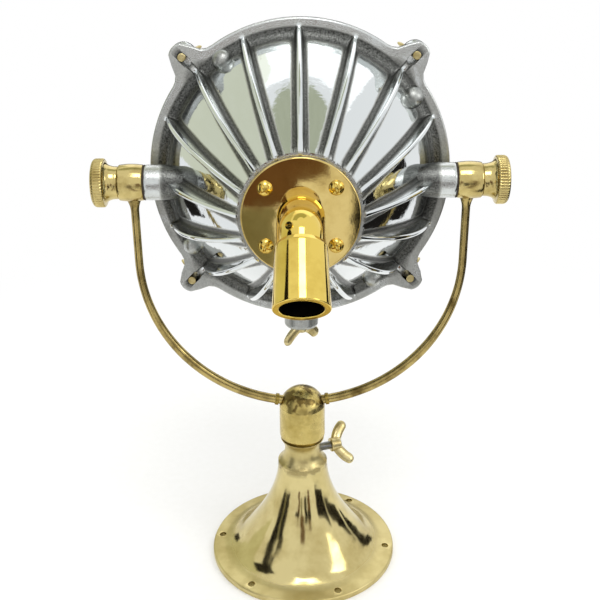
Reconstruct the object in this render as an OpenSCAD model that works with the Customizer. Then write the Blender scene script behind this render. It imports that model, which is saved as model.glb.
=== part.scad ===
// Marine searchlight: a ribbed cast aluminium lamp head in a bent rod yoke on a brass trumpet base.
// Origin at the centre of the base's underside, +Z up. The rear of the lamp faces -Y.

/* [Base] */
// Diameter of the base flange
base_d = 158; // [140:1:190]
// Thickness of the base flange at its edge
base_flange_t = 5; // [3:0.5:8]
// Radius where the trumpet meets the flange
base_foot_r = 62; // [50:1:66]
// Radius at the top of the trumpet
base_top_r = 20.6; // [20.4:0.1:23]
// Height of the trumpet's shoulder
base_shoulder_z = 91; // [80:1:110]
// Height of the neck above the shoulder
base_neck_h = 22; // [21:1:25]
// Smallest radius of the grooved neck
base_neck_r = 14.7; // [14:0.1:14.9]
// Radius of the neck's groove
groove_r = 15.7; // [15.4:0.1:17]
// Radius of the neck's upper lip
lip_r = 18; // [17.4:0.1:18.2]
// Curve of the trumpet: 1 is a cone, more is a deeper flare
base_flare = 1.9; // [1.4:0.01:2.4]
// Wall of the hollow trumpet
base_wall = 5; // [4:0.5:6.5]
// Diameter of the deck screw holes
deck_hole_d = 6; // [4:0.5:8]
// Distance of the deck screw holes from the flange's edge
deck_edge = 7; // [5:0.5:8]
// Number of deck screw holes
deck_holes = 6; // [3:1:8]
// Turn of the first deck screw hole from +X
deck_turn = -7; // [-30:1:30]

/* [Swivel] */
// Diameter of the swivel spindle
spindle_d = 16; // [12:0.5:18]
// Length of the spindle below the hub
spindle_drop = 42; // [30:1:48]
// Length of the spindle inside the hub
spindle_grip = 18; // [12:1:22]
// Thickness of the thrust washer
washer_t = 1; // [0.5:0.1:2]
// Radial clearance of turning fits
run_clearance = 0.05; // [0.02:0.01:0.1]
// Gap left between moving faces
face_gap = 0.3; // [0.2:0.05:0.5]
// Direction of the clamp screw, turned from +X
clamp_angle = 20; // [-30:1:60]
// Distance of the clamp screw below the middle of the neck's groove
clamp_drop = 4.4; // [0:0.1:5]

/* [Yoke] */
// Distance from the bush's inner end to the rod's axis
arm_inset = 8.4; // [7:0.1:12]
// Diameter of the yoke rod
rod_d = 7.5; // [6:0.5:9]
// Radius of the hub
hub_r = 18.7; // [17:0.1:22]
// Height of the straight part of the hub
hub_h = 30; // [26:1:40]
// Height of the hub's dome
dome_h = 16; // [10:1:18]
// Height of the rod where it enters the hub, above the hub's underside
rod_entry_h = 33.3; // [31:0.1:36]
// Depth of the rod's socket in the hub
rod_socket = 9; // [6:0.5:12]
// Radial clearance of the collars on the rod
collar_fit = 0.15; // [0.1:0.05:0.4]
// Radius of the collar on the rod at the hub
collar_r = 4.8; // [4.6:0.1:6]
// Length of the collar
collar_l = 3; // [2:0.5:6]
// Height of the tilt axis above the bend's centre
arm_straight = 63.7; // [50:0.1:80]
// Length of the barrel bush on each arm
bush_l = 18.5; // [16:0.5:24]
// Radius of the barrel bush at its ends
bush_end_r = 13.2; // [11:0.1:15]
// Depth of the rod in the barrel bush
rod_grip = 4; // [3:0.5:5]
// How much the barrel bush swells at its middle
bush_swell = 0.8; // [0.2:0.1:2]

/* [Tilt] */
// Tilt of the lamp at rest, rear upwards
rest_tilt = 4.5; // [-10:0.5:10]
// Diameter of the tilt studs
stud_d = 12; // [8:0.5:14]
// Depth of the stud in the housing's boss
stud_depth = 22; // [14:1:24]
// Radius of the knurled knob head
knob_r = 18.2; // [15:0.1:22]
// Thickness of the knurled rim
knob_rim_t = 8.5; // [6:0.5:12]
// Radius of the knob's waist
knob_waist_r = 12.2; // [10:0.1:13]
// Length from the bush to the knurled rim
knob_neck_l = 10.5; // [9:0.5:16]
// Number of grooves in the knurl
knurl_count = 48; // [24:1:60]
// Depth of the knurl
knurl_depth = 0.6; // [0.3:0.1:1]

/* [Housing] */
// Radius of the rim
rim_r = 116; // [112:0.5:120]
// Thickness of the rim
rim_t = 9; // [7:0.5:12]
// Distance from the tilt axis forward to the rim's rear face
rim_forward = 30; // [28:1:36]
// Distance from the tilt axis back to the outlet seat
seat_back = 97; // [90:1:105]
// Radius of the outlet seat
seat_r = 42; // [41:0.5:46]
// Distance from the rim's edge in to where the cone would meet its rear face
rim_ledge = 13.3; // [12:0.1:16]
// Wall of the cast bowl, measured across the axis
shell_wall = 5; // [4:0.5:6]
// Wall behind the outlet seat
rear_wall = 6; // [4:0.5:8]
// Fillet between the bowl and its rim
rim_fillet = 10; // [6:0.5:11]
// Number of ribs
rib_count = 16; // [8:1:20]
// Thickness of a rib
rib_t = 4.2; // [3:0.1:6]
// Rise of a rib's crest over its chord
rib_rise = 10; // [6:0.5:14]
// Distance from the rim's edge in to the ribs' ends
rib_inset = 6; // [5:0.5:12]
// Radius of the trunnion bosses and the bottom boss
boss_r = 13.2; // [12.5:0.1:15]
// How far the boss ends stay inside the rim's edge
boss_inset = 0.5; // [-1:0.1:2]
// Rounding of the bottom boss
boss_round = 3; // [1:0.5:5]
// Radius of the cast lumps on the rim
lump_r = 8; // [6:0.5:9]
// Angle of the cast lumps before each ear's quarter
lump_angle = 33.75; // [30:0.25:38]
// Radius of the cable hole through the rear wall
cable_hole_r = 9; // [6:0.5:10]

/* [Front] */
// Distance of the ear studs beyond the rim's edge
ear_offset = 8; // [6:0.5:11]
// Radius of an ear's end
ear_r = 10; // [8:0.5:12]
// Fillet beside an ear
ear_fillet = 14; // [8:0.5:18]
// Diameter of an ear stud
ear_stud_d = 6.4; // [5:0.1:7]
// Clearance of the slots round the ear studs
slot_clearance = 0.3; // [0.1:0.05:0.6]
// How far the ear slots reach inwards
slot_l = 6.5; // [3:0.5:8]
// How far the front bezel stays inside the rim's edge
bezel_inset = 6; // [4:0.5:7.5]
// Depth of the bezel
bezel_depth = 14.7; // [13:0.1:15]
// Thickness of the bezel's ears
bezel_ear_t = 8; // [6:0.5:9]
// Thickness of the bezel's front lip
bezel_lip_t = 4; // [3:0.5:5]
// How far the lens stays inside the bezel's edge
lens_inset = 7; // [5:0.5:9]
// How far the bezel's lip covers the lens
lens_lap = 7; // [4:0.5:12]
// Thickness of the lens
lens_t = 4.5; // [3:0.5:5]
// Thickness of the gaskets
gasket_t = 1.3; // [0.8:0.1:1.5]

/* [Lamp] */
// Focal length of the reflector
focal = 38; // [34:1:44]
// How far the reflector's opening reaches beyond the lens opening
reflector_lap = 2; // [0:0.5:3]
// Sheet of the reflector
reflector_t = 1.2; // [0.8:0.1:1.3]
// Radius of the lamp holder
holder_r = 14; // [11:0.5:15]
// Length of the lamp holder
holder_l = 26; // [20:1:32]
// Radius of the bulb
bulb_r = 17; // [12:0.5:22]
// Radius of the tube that carries the lamp holder
stem_r = 8; // [7:0.5:10]

/* [Outlet] */
// Radius of the outlet flange
flange_r = 39.6; // [37:0.1:41]
// Thickness of the outlet flange
flange_t = 3; // [2:0.5:5]
// Radius of the flange's screw circle
flange_screw_r = 30.2; // [27:0.1:33]
// Angle of the flange screws above and below the level
flange_screw_angle = 40; // [30:1:50]
// Radius of the flange screws' heads
screw_head_r = 5.1; // [4:0.1:6]
// Height of the flange screws' heads
screw_head_h = 3; // [2:0.1:4]
// Radius of the elbow's neck
neck_r = 13.6; // [12:0.1:15]
// Bore of the elbow's neck
neck_bore_r = 10.5; // [8:0.1:11]
// How far the elbow's knuckle stands proud of its tubes
knuckle = 0.5; // [0.2:0.1:1]
// Distance from the flange to the bend
neck_l = 31; // [28:1:40]
// Angle of the outlet below the lamp's axis
elbow_angle = 48; // [40:1:60]
// Distance from the bend to the sleeve's mouth
outlet_l = 53; // [45:1:70]
// Distance from the bend to the sleeve's shoulder
sleeve_start = 9; // [8:0.5:14]
// Length of the elbow's spigot inside the sleeve
spigot_l = 12; // [8:1:18]
// Radius of the sleeve at its shoulder
sleeve_top_r = 16.3; // [15.8:0.1:18]
// Radius of the sleeve at its mouth
sleeve_mouth_r = 18.2; // [17:0.1:20]
// Radius of the set screw in the bend
set_r = 2.6; // [2:0.1:3.5]
// Turn of the set screw to the left of the elbow's neck
set_turn = 34.5; // [0:0.5:90]
// Lift of the set screw above the neck's axis
set_lift = 26; // [0:0.5:45]
// How far the set screw stands proud
set_stand = 0.5; // [0.2:0.1:1]
// Width of the set screw's slot
set_slot = 0.8; // [0.5:0.1:1.2]
// Bore of the sleeve
sleeve_bore_r = 13.9; // [13.8:0.05:15]

/* [Hand screws] */
// Diameter of the winged screws' shanks
wing_shank_d = 7; // [5:0.5:8]
// Depth of the shank's end below the barrel's top
shank_inset = 3; // [1:0.5:4]
// Radius of a winged head's barrel
wing_barrel_r = 6; // [5.5:0.1:7]
// Length of a winged head's barrel
wing_barrel_l = 9; // [7:0.5:12]
// Distance of a wing's end from the screw's axis
wing_reach = 13.5; // [11:0.5:15]
// Height of a wing's end above the barrel's foot
wing_height = 14; // [12:0.5:18]
// Radius of a wing's rounded end
wing_end_r = 4.8; // [3.5:0.1:5]
// Thickness of a wing
wing_t = 4.4; // [3:0.1:5.5]
// Distance of a nut's wing end from its axis
nut_reach = 10.3; // [9:0.1:13]
// Height of a nut's wing end above its foot
nut_height = 11; // [10:0.5:14]
// Radius of a nut's rounded wing end
nut_end_r = 3.2; // [2.6:0.1:4]
// Length of the clamp screw's shank outside the neck
clamp_stand = 10.5; // [8:0.5:14]
// Turn of the clamp screw's wings from upright
clamp_wing_turn = -40; // [-90:1:90]
// Distance from the tilt axis forward to the drain screw
drain_forward = 20; // [17:0.5:22]
// How far the drain screw's boss stands beyond the rim's edge
drain_stand = 3; // [0:0.5:6]
// Radius of the drain screw's boss
drain_boss_r = 8; // [7:0.5:9]
// Turn of the drain screw's wings from crosswise
drain_wing_turn = -42; // [-90:1:90]

/* [Hidden] */
$fn = 96;
tiny = 0.01;
trumpet_steps = 20;
dish_steps = 24;
fillet_steps = 5;
base_top_z = base_shoulder_z + base_neck_h;
foot_rise = 2;
foot_z = base_flange_t + foot_rise;
groove_share = 0.55;
groove_z = base_shoulder_z + base_neck_h * groove_share;
clamp_z = groove_z - clamp_drop;
hub_z = base_top_z + washer_t + face_gap;
dome_z = hub_z + hub_h;
dome_r = (hub_r * hub_r + dome_h * dome_h) / (2 * dome_h);
rod_z = hub_z + rod_entry_h;
boss_reach = rim_r - boss_inset;
trunnion_washer_t = 0.8;
bush_x = boss_reach + trunnion_washer_t + face_gap;
arm_x = bush_x + arm_inset;
bend_z = rod_z + arm_x;
tilt_z = bend_z + arm_straight;
rod_r = rod_d / 2;
rod_straight = arm_straight - bush_end_r + rod_grip;
rod_start = asin((hub_r - rod_socket) / arm_x);
collar_turn = asin((hub_r + collar_l / 2 + face_gap) / arm_x);
spindle_r = spindle_d / 2;
stud_r = stud_d / 2;
knob_x = bush_x + bush_l + face_gap;
knob_rim_x = knob_x + knob_neck_l;
bush_swell_r = (bush_l * bush_l / 4 + bush_swell * bush_swell) / (2 * bush_swell);
rim_z = -rim_forward;
rim_front_z = rim_z - rim_t;
cone_rim_r = rim_r - rim_ledge;
rib_end_r = rim_r - rib_inset;
ear_pitch_r = rim_r + ear_offset;
bezel_r = rim_r - bezel_inset;
lens_r = bezel_r - lens_inset;
lens_open_r = lens_r - lens_lap;
reflector_r = lens_open_r + reflector_lap;
drain_boss_reach = rim_r + drain_stand;
cone_slope = (cone_rim_r - seat_r) / (seat_back - rim_z);
cone_len = sqrt(1 + cone_slope * cone_slope);
fillet_r_pos = cone_rim_r - cone_slope * rim_fillet + rim_fillet * cone_len;
rib_start = 1;
rib_chord_r = rib_end_r - seat_r - rib_start;
rib_chord_z = seat_back - rim_z - rib_start;
rib_chord = sqrt(rib_chord_r * rib_chord_r + rib_chord_z * rib_chord_z);
rib_arc_r = (rib_chord * rib_chord / 4 + rib_rise * rib_rise) / (2 * rib_rise);
rib_mid = [seat_r + rib_start + rib_chord_r / 2, seat_back - rib_chord_z / 2];
rib_centre = rib_mid - (rib_arc_r - rib_rise) * [rib_chord_z, rib_chord_r] / rib_chord;
rim_gasket_inset = 0.5;
rim_gasket_w = 2.5;
bezel_z = rim_front_z - gasket_t;
bezel_front_z = bezel_z - bezel_depth;
lip_z = bezel_front_z + bezel_lip_t;
lens_z = lip_z + gasket_t;
lens_ring_z = lens_z + lens_t;
lens_ring_t = 1.8;
lens_fit = 0.4;
vertex_z = rim_front_z + reflector_r * reflector_r / (4 * focal);
focus_z = vertex_z - focal;
bulb_neck_r = bulb_r * 0.55;
holder_gap = 6;
holder_z = focus_z + bulb_r + holder_gap;
holder_floor = 7;
cap_stand = 4;
ear_stud_r = ear_stud_d / 2;
stud_over = 3;
stud_front_z = bezel_z - bezel_ear_t - wing_barrel_l - stud_over;
nut_z = bezel_z - bezel_ear_t - face_gap;
gasket_back = seat_back + gasket_t;
flange_back = gasket_back + flange_t;
elbow_z = flange_back + neck_l;
wing_shank_r = wing_shank_d / 2;
clamp_head_x = base_neck_r + clamp_stand;
nut_turns = [74, 113, 80, 100];
drain_head_r = drain_boss_reach + face_gap;

// Radius of the trumpet at a height, and of its hollow
function trumpet_r(z) =
    base_top_r + (base_foot_r - base_top_r)
        * pow((base_shoulder_z - z) / (base_shoulder_z - foot_z), base_flare);

// Depth of the reflector's paraboloid at a radius
function dish_z(r) = vertex_z - r * r / (4 * focal);

// Places a shape of the lamp head: its Z is the lamp's axis towards the rear, its Y is up
module in_head() {
    translate([0, 0, tilt_z]) rotate([90 - rest_tilt, 0, 0]) children();
}

// Places a shape drawn along Z on the tilt axis, pointing out on one side
module on_side(side) {
    rotate([0, side * 90, 0]) children();
}

// A ring of a tube's section between two heights
module ring(outer, inner, low, high) {
    translate([0, 0, low]) difference() {
        cylinder(r = outer, h = high - low);
        translate([0, 0, -1]) cylinder(r = inner, h = high - low + 2);
    }
}

// A rod standing on its end with a rounded top edge
module rounded_rod(r, h, round) {
    rotate_extrude() {
        square([r, h - round]);
        square([r - round, h]);
        translate([r - round, h - round]) intersection() {
            circle(round);
            square(round);
        }
    }
}

// A flat bar with two round ends between two points
module capsule(from, to, r) {
    run = to - from;
    translate(from) {
        circle(r);
        rotate(atan2(run[1], run[0])) translate([0, -r]) square([norm(run), 2 * r]);
    }
    translate(to) circle(r);
}

// Barrel and two wings of a hand screw, standing on its foot, wings along X
module winged_head(bore_r, reach, height, end_r) {
    taper = 1;
    root = [wing_barrel_r / 2, end_r + 0.6];
    difference() {
        union() {
            cylinder(r1 = wing_barrel_r, r2 = wing_barrel_r - taper, h = wing_barrel_l);
            rotate([90, 0, 0]) linear_extrude(wing_t, center = true) for (side = [0, 1])
                mirror([side, 0, 0]) capsule(root, [reach, height], end_r);
        }
        translate([0, 0, -1]) cylinder(r = bore_r, h = height + end_r + 2);
    }
}

// Outline of one ear, blended into a disc of the given radius
module ear_outline(disc_r) {
    reach = disc_r + ear_fillet;
    near = ear_r + ear_fillet;
    x = (reach * reach - near * near + ear_pitch_r * ear_pitch_r) / (2 * ear_pitch_r);
    y = sqrt(reach * reach - x * x);
    root = [x, y] * disc_r / reach;
    translate([ear_pitch_r, 0]) circle(ear_r);
    difference() {
        polygon([[root[0] - ear_r, -root[1]], [root[0], -root[1]], [x, -y], [ear_pitch_r, 0], [x, y],
            [root[0], root[1]], [root[0] - ear_r, root[1]]]);
        for (side = [-1, 1]) translate([x, side * y]) circle(ear_fillet);
    }
}

// Four ears round the rim
module at_ears() {
    for (i = [0:3]) rotate(45 + 90 * i) children();
}

module base_pedestal() {
    socket_spare = 6;
    hollow_top = base_top_z - spindle_drop - socket_spare;
    color("#cdb56a") difference() {
        union() {
            rotate_extrude() polygon(concat(
                [[0, 0], [base_d / 2, 0], [base_d / 2, base_flange_t], [base_foot_r, foot_z]],
                [for (i = [1:trumpet_steps])
                    let (z = foot_z + (base_shoulder_z - foot_z) * i / trumpet_steps) [trumpet_r(z), z]],
                [[0, base_shoulder_z]]));
            rotate_extrude() difference() {
                square([base_top_r, base_top_z]);
                translate([base_neck_r + groove_r, groove_z]) circle(groove_r);
                translate([lip_r, groove_z]) square(base_neck_h);
            }
        }
        rotate_extrude() polygon(concat(
            [[0, -1], [base_foot_r - base_wall, -1]],
            [for (i = [0:trumpet_steps]) let (z = foot_z + (hollow_top - foot_z) * i / trumpet_steps)
                [max(trumpet_r(z) - base_wall, 1), z - base_wall]],
            [[0, hollow_top - base_wall]]));
        translate([0, 0, hollow_top]) cylinder(r = spindle_r + run_clearance, h = base_top_z);
        for (i = [0:deck_holes - 1]) rotate(i * 360 / deck_holes + deck_turn)
            translate([base_d / 2 - deck_edge, 0, -1]) cylinder(d = deck_hole_d, h = foot_z + 2);
        translate([0, 0, clamp_z]) rotate(clamp_angle) rotate([0, 90, 0])
            cylinder(r = wing_shank_r + run_clearance, h = base_top_r);
    }
}

module thrust_washer() {
    proud = 0.6;
    color("#8f7a3a") ring(base_neck_r + proud, spindle_r + face_gap, base_top_z, base_top_z + washer_t);
}

module clamp_shank() {
    tip = spindle_r + face_gap;
    color("#8d9097") translate([0, 0, clamp_z]) rotate(clamp_angle) rotate([0, 90, 0])
        translate([0, 0, tip])
            cylinder(r = wing_shank_r, h = clamp_head_x + wing_barrel_l - shank_inset - tip);
}

module clamp_wing() {
    color("#e0cf93") translate([0, 0, clamp_z]) rotate(clamp_angle) rotate([0, 90, 0])
        translate([0, 0, clamp_head_x]) rotate(clamp_wing_turn)
            winged_head(wing_shank_r, wing_reach, wing_height, wing_end_r);
}

module yoke_hub() {
    foot_round = 1.5;
    color("#d2b75f") difference() {
        union() {
            translate([0, 0, dome_z]) mirror([0, 0, 1]) rounded_rod(hub_r, hub_h, foot_round);
            intersection() {
                translate([0, 0, dome_z + dome_h - dome_r]) sphere(dome_r);
                translate([0, 0, dome_z - tiny]) cylinder(r = hub_r, h = dome_h + 1);
            }
        }
        translate([0, 0, hub_z - 1]) cylinder(r = spindle_r, h = spindle_grip + 1);
        for (side = [0, 1]) mirror([side, 0, 0])
            rod_bend(rod_r + run_clearance, rod_start, 2 * collar_turn);
    }
}

module yoke_spindle() {
    color("#9a9da2") translate([0, 0, hub_z - spindle_drop])
        cylinder(r = spindle_r, h = spindle_drop + spindle_grip);
}

// Stretch of the yoke's bend, between two angles from its lowest point
module rod_bend(r, from, to) {
    translate([0, 0, bend_z]) rotate([90, 0, 0]) rotate(to - 90)
        rotate_extrude(angle = from - to) translate([arm_x, 0]) circle(r);
}

// One bent rod: a quarter bend out of the hub, then straight up into the bush
module arm(side) {
    color("#a58f4c") mirror([side < 0 ? 1 : 0, 0, 0]) {
        rod_bend(rod_r, rod_start, 90);
        translate([arm_x, 0, bend_z]) cylinder(r = rod_r, h = rod_straight);
    }
}

module arm_left() { arm(-1); }
module arm_right() { arm(1); }

module arm_collars() {
    color("#cbb263") for (side = [0, 1]) mirror([side, 0, 0]) translate([0, 0, bend_z])
        rotate([0, -collar_turn, 0]) translate([0, 0, -arm_x]) on_side(1)
            ring(collar_r, rod_r + collar_fit, -collar_l / 2, collar_l / 2);
}

// Barrel bush: its outline swells in one arc between the ends
module bush(side) {
    color("#d6bc68") difference() {
        translate([0, 0, tilt_z]) on_side(side) translate([0, 0, bush_x]) difference() {
            rotate_extrude() intersection() {
                square([bush_end_r + bush_swell + 1, bush_l]);
                translate([bush_end_r + bush_swell - bush_swell_r, bush_l / 2])
                    circle(bush_swell_r, $fn = 200);
            }
            translate([0, 0, -1]) cylinder(r = stud_r + run_clearance, h = bush_l + 2);
        }
        translate([side * arm_x, 0, bend_z]) cylinder(r = rod_r, h = rod_straight);
    }
}

module bush_left() { bush(-1); }
module bush_right() { bush(1); }

// Outline of the bowl's wall in radius and height along the lamp's axis, with its fillet in short steps
module bowl_outline() {
    centre = [fillet_r_pos, rim_z + rim_fillet];
    first = 180 + atan(cone_slope);
    polygon(concat(
        [[0, rim_front_z], [rim_r, rim_front_z], [rim_r, rim_z]],
        [for (i = [fillet_steps:-1:0]) let (a = first + (270 - first) * i / fillet_steps)
            centre + rim_fillet * [cos(a), sin(a)]],
        [[seat_r, seat_back], [0, seat_back]]));
}

// Hollow of the bowl
module bowl_hollow() {
    inner_front = cone_rim_r + cone_slope * (rim_z - rim_front_z + 1) - shell_wall;
    back = seat_back - rear_wall;
    inner_back = seat_r + cone_slope * rear_wall - shell_wall;
    polygon([[0, rim_front_z - 1], [inner_front, rim_front_z - 1], [inner_back, back], [0, back]]);
}

// One rib: an arc-crested blade whose foot lies inside the wall
module rib() {
    foot = shell_wall / 2;
    back = seat_back - rib_start;
    front = rim_z - 2;
    rotate([90, 0, 0]) linear_extrude(rib_t, center = true) intersection() {
        polygon([[seat_r - foot, back], [rib_end_r, back], [rib_end_r, front], [cone_rim_r - foot, front]]);
        translate(rib_centre) circle(rib_arc_r, $fn = 400);
    }
}

module rear_housing() {
    stud_bore = stud_r + run_clearance;
    color("#b4b7b6") in_head() difference() {
        union() {
            rotate_extrude() bowl_outline();
            for (i = [0:rib_count - 1]) rotate(90 + i * 360 / rib_count) rib();
            for (side = [-1, 1]) on_side(side) translate([0, 0, seat_r])
                cylinder(r = boss_r, h = boss_reach - seat_r);
            rotate([90, 0, 0]) translate([0, 0, seat_r])
                rounded_rod(boss_r, boss_reach - seat_r, boss_round);
            translate([0, 0, -drain_forward]) rotate([90, 0, 0]) translate([0, 0, seat_r])
                cylinder(r = drain_boss_r, h = drain_boss_reach - seat_r);
            translate([0, 0, rim_front_z]) linear_extrude(rim_t) at_ears() ear_outline(rim_r);
            for (i = [0:3]) rotate(lump_angle + 90 * i)
                translate([cone_rim_r, 0, rim_z + lump_r / 4]) sphere(lump_r);
        }
        rotate_extrude() bowl_hollow();
        translate([0, 0, seat_back - rear_wall - 1]) cylinder(r = cable_hole_r, h = rear_wall + 2);
        for (side = [-1, 1]) on_side(side) translate([0, 0, boss_reach - stud_depth])
            cylinder(r = stud_bore, h = stud_depth + 1);
        translate([0, 0, -drain_forward]) rotate([90, 0, 0]) translate([0, 0, seat_r])
            cylinder(r = wing_shank_r + run_clearance, h = boss_reach);
        translate([0, 0, rim_front_z - 1]) linear_extrude(rim_t + 2) at_ears()
            capsule([ear_pitch_r - slot_l, 0], [ear_pitch_r, 0], ear_stud_r + slot_clearance);
    }
}

module trunnion_washers() {
    color("#3c352b") translate([0, 0, tilt_z]) for (side = [-1, 1]) on_side(side)
        ring(bush_end_r, stud_r + face_gap, boss_reach, boss_reach + trunnion_washer_t);
}

module outlet_gasket() {
    inset = 0.8;
    color("#2b2926") in_head() ring(flange_r - inset, cable_hole_r, seat_back, gasket_back);
}

module outlet_flange() {
    color("#b99a4a") in_head() ring(flange_r, neck_bore_r, gasket_back, flange_back);
}

module flange_screws() {
    cap_r = (screw_head_r * screw_head_r + screw_head_h * screw_head_h) / (2 * screw_head_h);
    slot_w = 1.2;
    slot_depth = 1;
    slot_turn = 20;
    color("#dcc268") in_head() for (a = [0, 180], side = [-1, 1])
        rotate(a + side * flange_screw_angle) translate([flange_screw_r, 0, flange_back]) difference() {
            intersection() {
                translate([0, 0, screw_head_h - cap_r]) sphere(cap_r);
                cylinder(r = screw_head_r, h = screw_head_h + 1);
            }
            for (turn = [0, 90]) rotate(turn + slot_turn)
                translate([-screw_head_r, -slot_w / 2, screw_head_h - slot_depth])
                    cube([2 * screw_head_r, slot_w, 2 * slot_depth]);
        }
}

// Places a shape along the outlet: Z points out of its mouth
module along_outlet() {
    translate([0, 0, elbow_z]) rotate([elbow_angle, 0, 0]) children();
}

// Places a shape along the set screw in the elbow's left cheek
module at_set_screw() {
    translate([0, 0, elbow_z]) rotate([-set_lift, -set_turn, 0]) children();
}

module elbow_bend() {
    spigot = sleeve_start + spigot_l;
    color("#d8b850") in_head() difference() {
        union() {
            translate([0, 0, flange_back]) cylinder(r = neck_r, h = neck_l);
            translate([0, 0, elbow_z]) sphere(neck_r + knuckle);
            along_outlet() cylinder(r = neck_r, h = spigot);
        }
        translate([0, 0, flange_back - 1]) cylinder(r = neck_bore_r, h = neck_l + 1);
        translate([0, 0, elbow_z]) sphere(neck_bore_r + knuckle);
        along_outlet() cylinder(r = neck_bore_r, h = spigot + 1);
        at_set_screw() cylinder(r = set_r, h = neck_r + 2);
    }
}

module elbow_set_screw() {
    color("#8e7a3c") in_head() at_set_screw() translate([0, 0, neck_bore_r + knuckle]) difference() {
        cylinder(r = set_r - run_clearance, h = neck_r - neck_bore_r + set_stand);
        translate([-set_r, -set_slot / 2, neck_r - neck_bore_r + set_stand - set_slot])
            cube([2 * set_r, set_slot, 2 * set_slot]);
    }
}

module outlet_sleeve() {
    shoulder = 2;
    color("#e0be52") in_head() along_outlet() difference() {
        union() {
            translate([0, 0, sleeve_start])
                cylinder(r1 = sleeve_top_r - shoulder, r2 = sleeve_top_r, h = shoulder);
            translate([0, 0, sleeve_start + shoulder])
                cylinder(r1 = sleeve_top_r, r2 = sleeve_mouth_r, h = outlet_l - sleeve_start - shoulder);
        }
        translate([0, 0, sleeve_start - 1]) cylinder(r = neck_r + run_clearance, h = outlet_l);
        translate([0, 0, sleeve_start + spigot_l]) cylinder(r = sleeve_bore_r, h = outlet_l);
    }
}

module bezel() {
    color("#a9adad") in_head() difference() {
        union() {
            translate([0, 0, bezel_front_z]) cylinder(r = bezel_r, h = bezel_depth);
            translate([0, 0, bezel_z - bezel_ear_t]) linear_extrude(bezel_ear_t)
                at_ears() ear_outline(bezel_r);
        }
        translate([0, 0, bezel_front_z - 1]) cylinder(r = lens_open_r, h = bezel_depth + 2);
        translate([0, 0, lip_z]) cylinder(r = lens_r + lens_fit, h = bezel_depth);
        at_ears() translate([ear_pitch_r, 0, bezel_z - bezel_ear_t - 1])
            cylinder(r = ear_stud_r + slot_clearance, h = bezel_ear_t + 2);
    }
}

module lens_gasket() {
    color("#1f1e1d") in_head() ring(lens_r, lens_open_r, lip_z, lens_z);
}

module lens_glass() {
    color([0.8, 0.9, 0.92, 0.4]) in_head() translate([0, 0, lens_z]) cylinder(r = lens_r, h = lens_t);
}

module lens_ring() {
    inset = 2;
    color("#8f8f8a") in_head() ring(lens_r, lens_open_r + inset, lens_ring_z, lens_ring_z + lens_ring_t);
}

module rim_gasket() {
    outer = bezel_r - rim_gasket_inset;
    color("#1f1e1d") in_head() ring(outer, outer - rim_gasket_w, bezel_z, rim_front_z);
}

module reflector() {
    hole = holder_r + 1.5;
    lip_gap = 0.5;
    lip_r = bezel_r - rim_gasket_inset - rim_gasket_w - lip_gap;
    slant = 0.8;
    rows = [for (i = [0:dish_steps]) hole + (reflector_r - hole) * i / dish_steps];
    color("#dfe3e6") in_head() rotate_extrude() polygon(concat(
        [for (r = rows) [r, dish_z(r)]],
        [[lip_r, rim_front_z], [lip_r, rim_front_z - reflector_t]],
        [for (i = [dish_steps:-1:0]) [rows[i] - slant, dish_z(rows[i]) - reflector_t]]));
}

module lamp_stem() {
    back = seat_back - rear_wall;
    front = holder_z + holder_l;
    foot_t = 3;
    foot_w = 6;
    tube_wall = 2;
    color("#c9ab55") in_head() difference() {
        union() {
            translate([0, 0, front]) cylinder(r = stem_r, h = back - front);
            translate([0, 0, back - foot_t]) cylinder(r = stem_r + foot_w, h = foot_t);
        }
        translate([0, 0, front - 1]) cylinder(r = stem_r - tube_wall, h = back);
    }
}

module lamp_holder() {
    cap_fit = 0.2;
    color("#d9d4c6") in_head() difference() {
        translate([0, 0, holder_z]) cylinder(r = holder_r, h = holder_l);
        translate([0, 0, holder_z - 1])
            cylinder(r = bulb_neck_r + cap_fit, h = holder_l - holder_floor + 1);
    }
}

module bulb_cap() {
    end_gap = 1;
    color("#c9ab55") in_head() translate([0, 0, holder_z - cap_stand])
        cylinder(r = bulb_neck_r, h = holder_l - holder_floor - end_gap + cap_stand);
}

module bulb() {
    wall = 1;
    color([0.95, 0.95, 0.9, 0.5]) in_head() difference() {
        union() {
            translate([0, 0, focus_z]) sphere(bulb_r);
            translate([0, 0, focus_z]) cylinder(r = bulb_neck_r, h = holder_z - cap_stand - focus_z);
        }
        translate([0, 0, focus_z]) sphere(bulb_r - wall);
    }
}

module ear_studs() {
    proud = 1;
    color("#cdb264") in_head() at_ears() translate([ear_pitch_r, 0, stud_front_z])
        cylinder(r = ear_stud_r, h = rim_z + proud - stud_front_z);
}

// Knurled knob: waist, flare and a rim with straight grooves
module knob(side) {
    edge = 1;
    lip = 1.2;
    flare_l = knob_neck_l * 0.65;
    color("#cdb468") translate([0, 0, tilt_z]) on_side(side) difference() {
        union() {
            translate([0, 0, knob_x]) cylinder(r = knob_waist_r, h = knob_neck_l);
            translate([0, 0, knob_rim_x - flare_l])
                cylinder(r1 = knob_waist_r, r2 = knob_r - lip, h = flare_l);
            translate([0, 0, knob_rim_x]) cylinder(r = knob_r, h = knob_rim_t - edge);
            translate([0, 0, knob_rim_x + knob_rim_t - edge])
                cylinder(r1 = knob_r, r2 = knob_r - edge, h = edge);
        }
        for (i = [0:knurl_count - 1]) rotate(i * 360 / knurl_count) translate([knob_r, 0, knob_rim_x - 1])
            rotate(45) translate([-knurl_depth, -knurl_depth] / sqrt(2))
                cube([knurl_depth * sqrt(2), knurl_depth * sqrt(2), knob_rim_t + 2]);
        translate([0, 0, knob_x - 1]) cylinder(r = stud_r, h = knob_neck_l + 1);
    }
}

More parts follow.
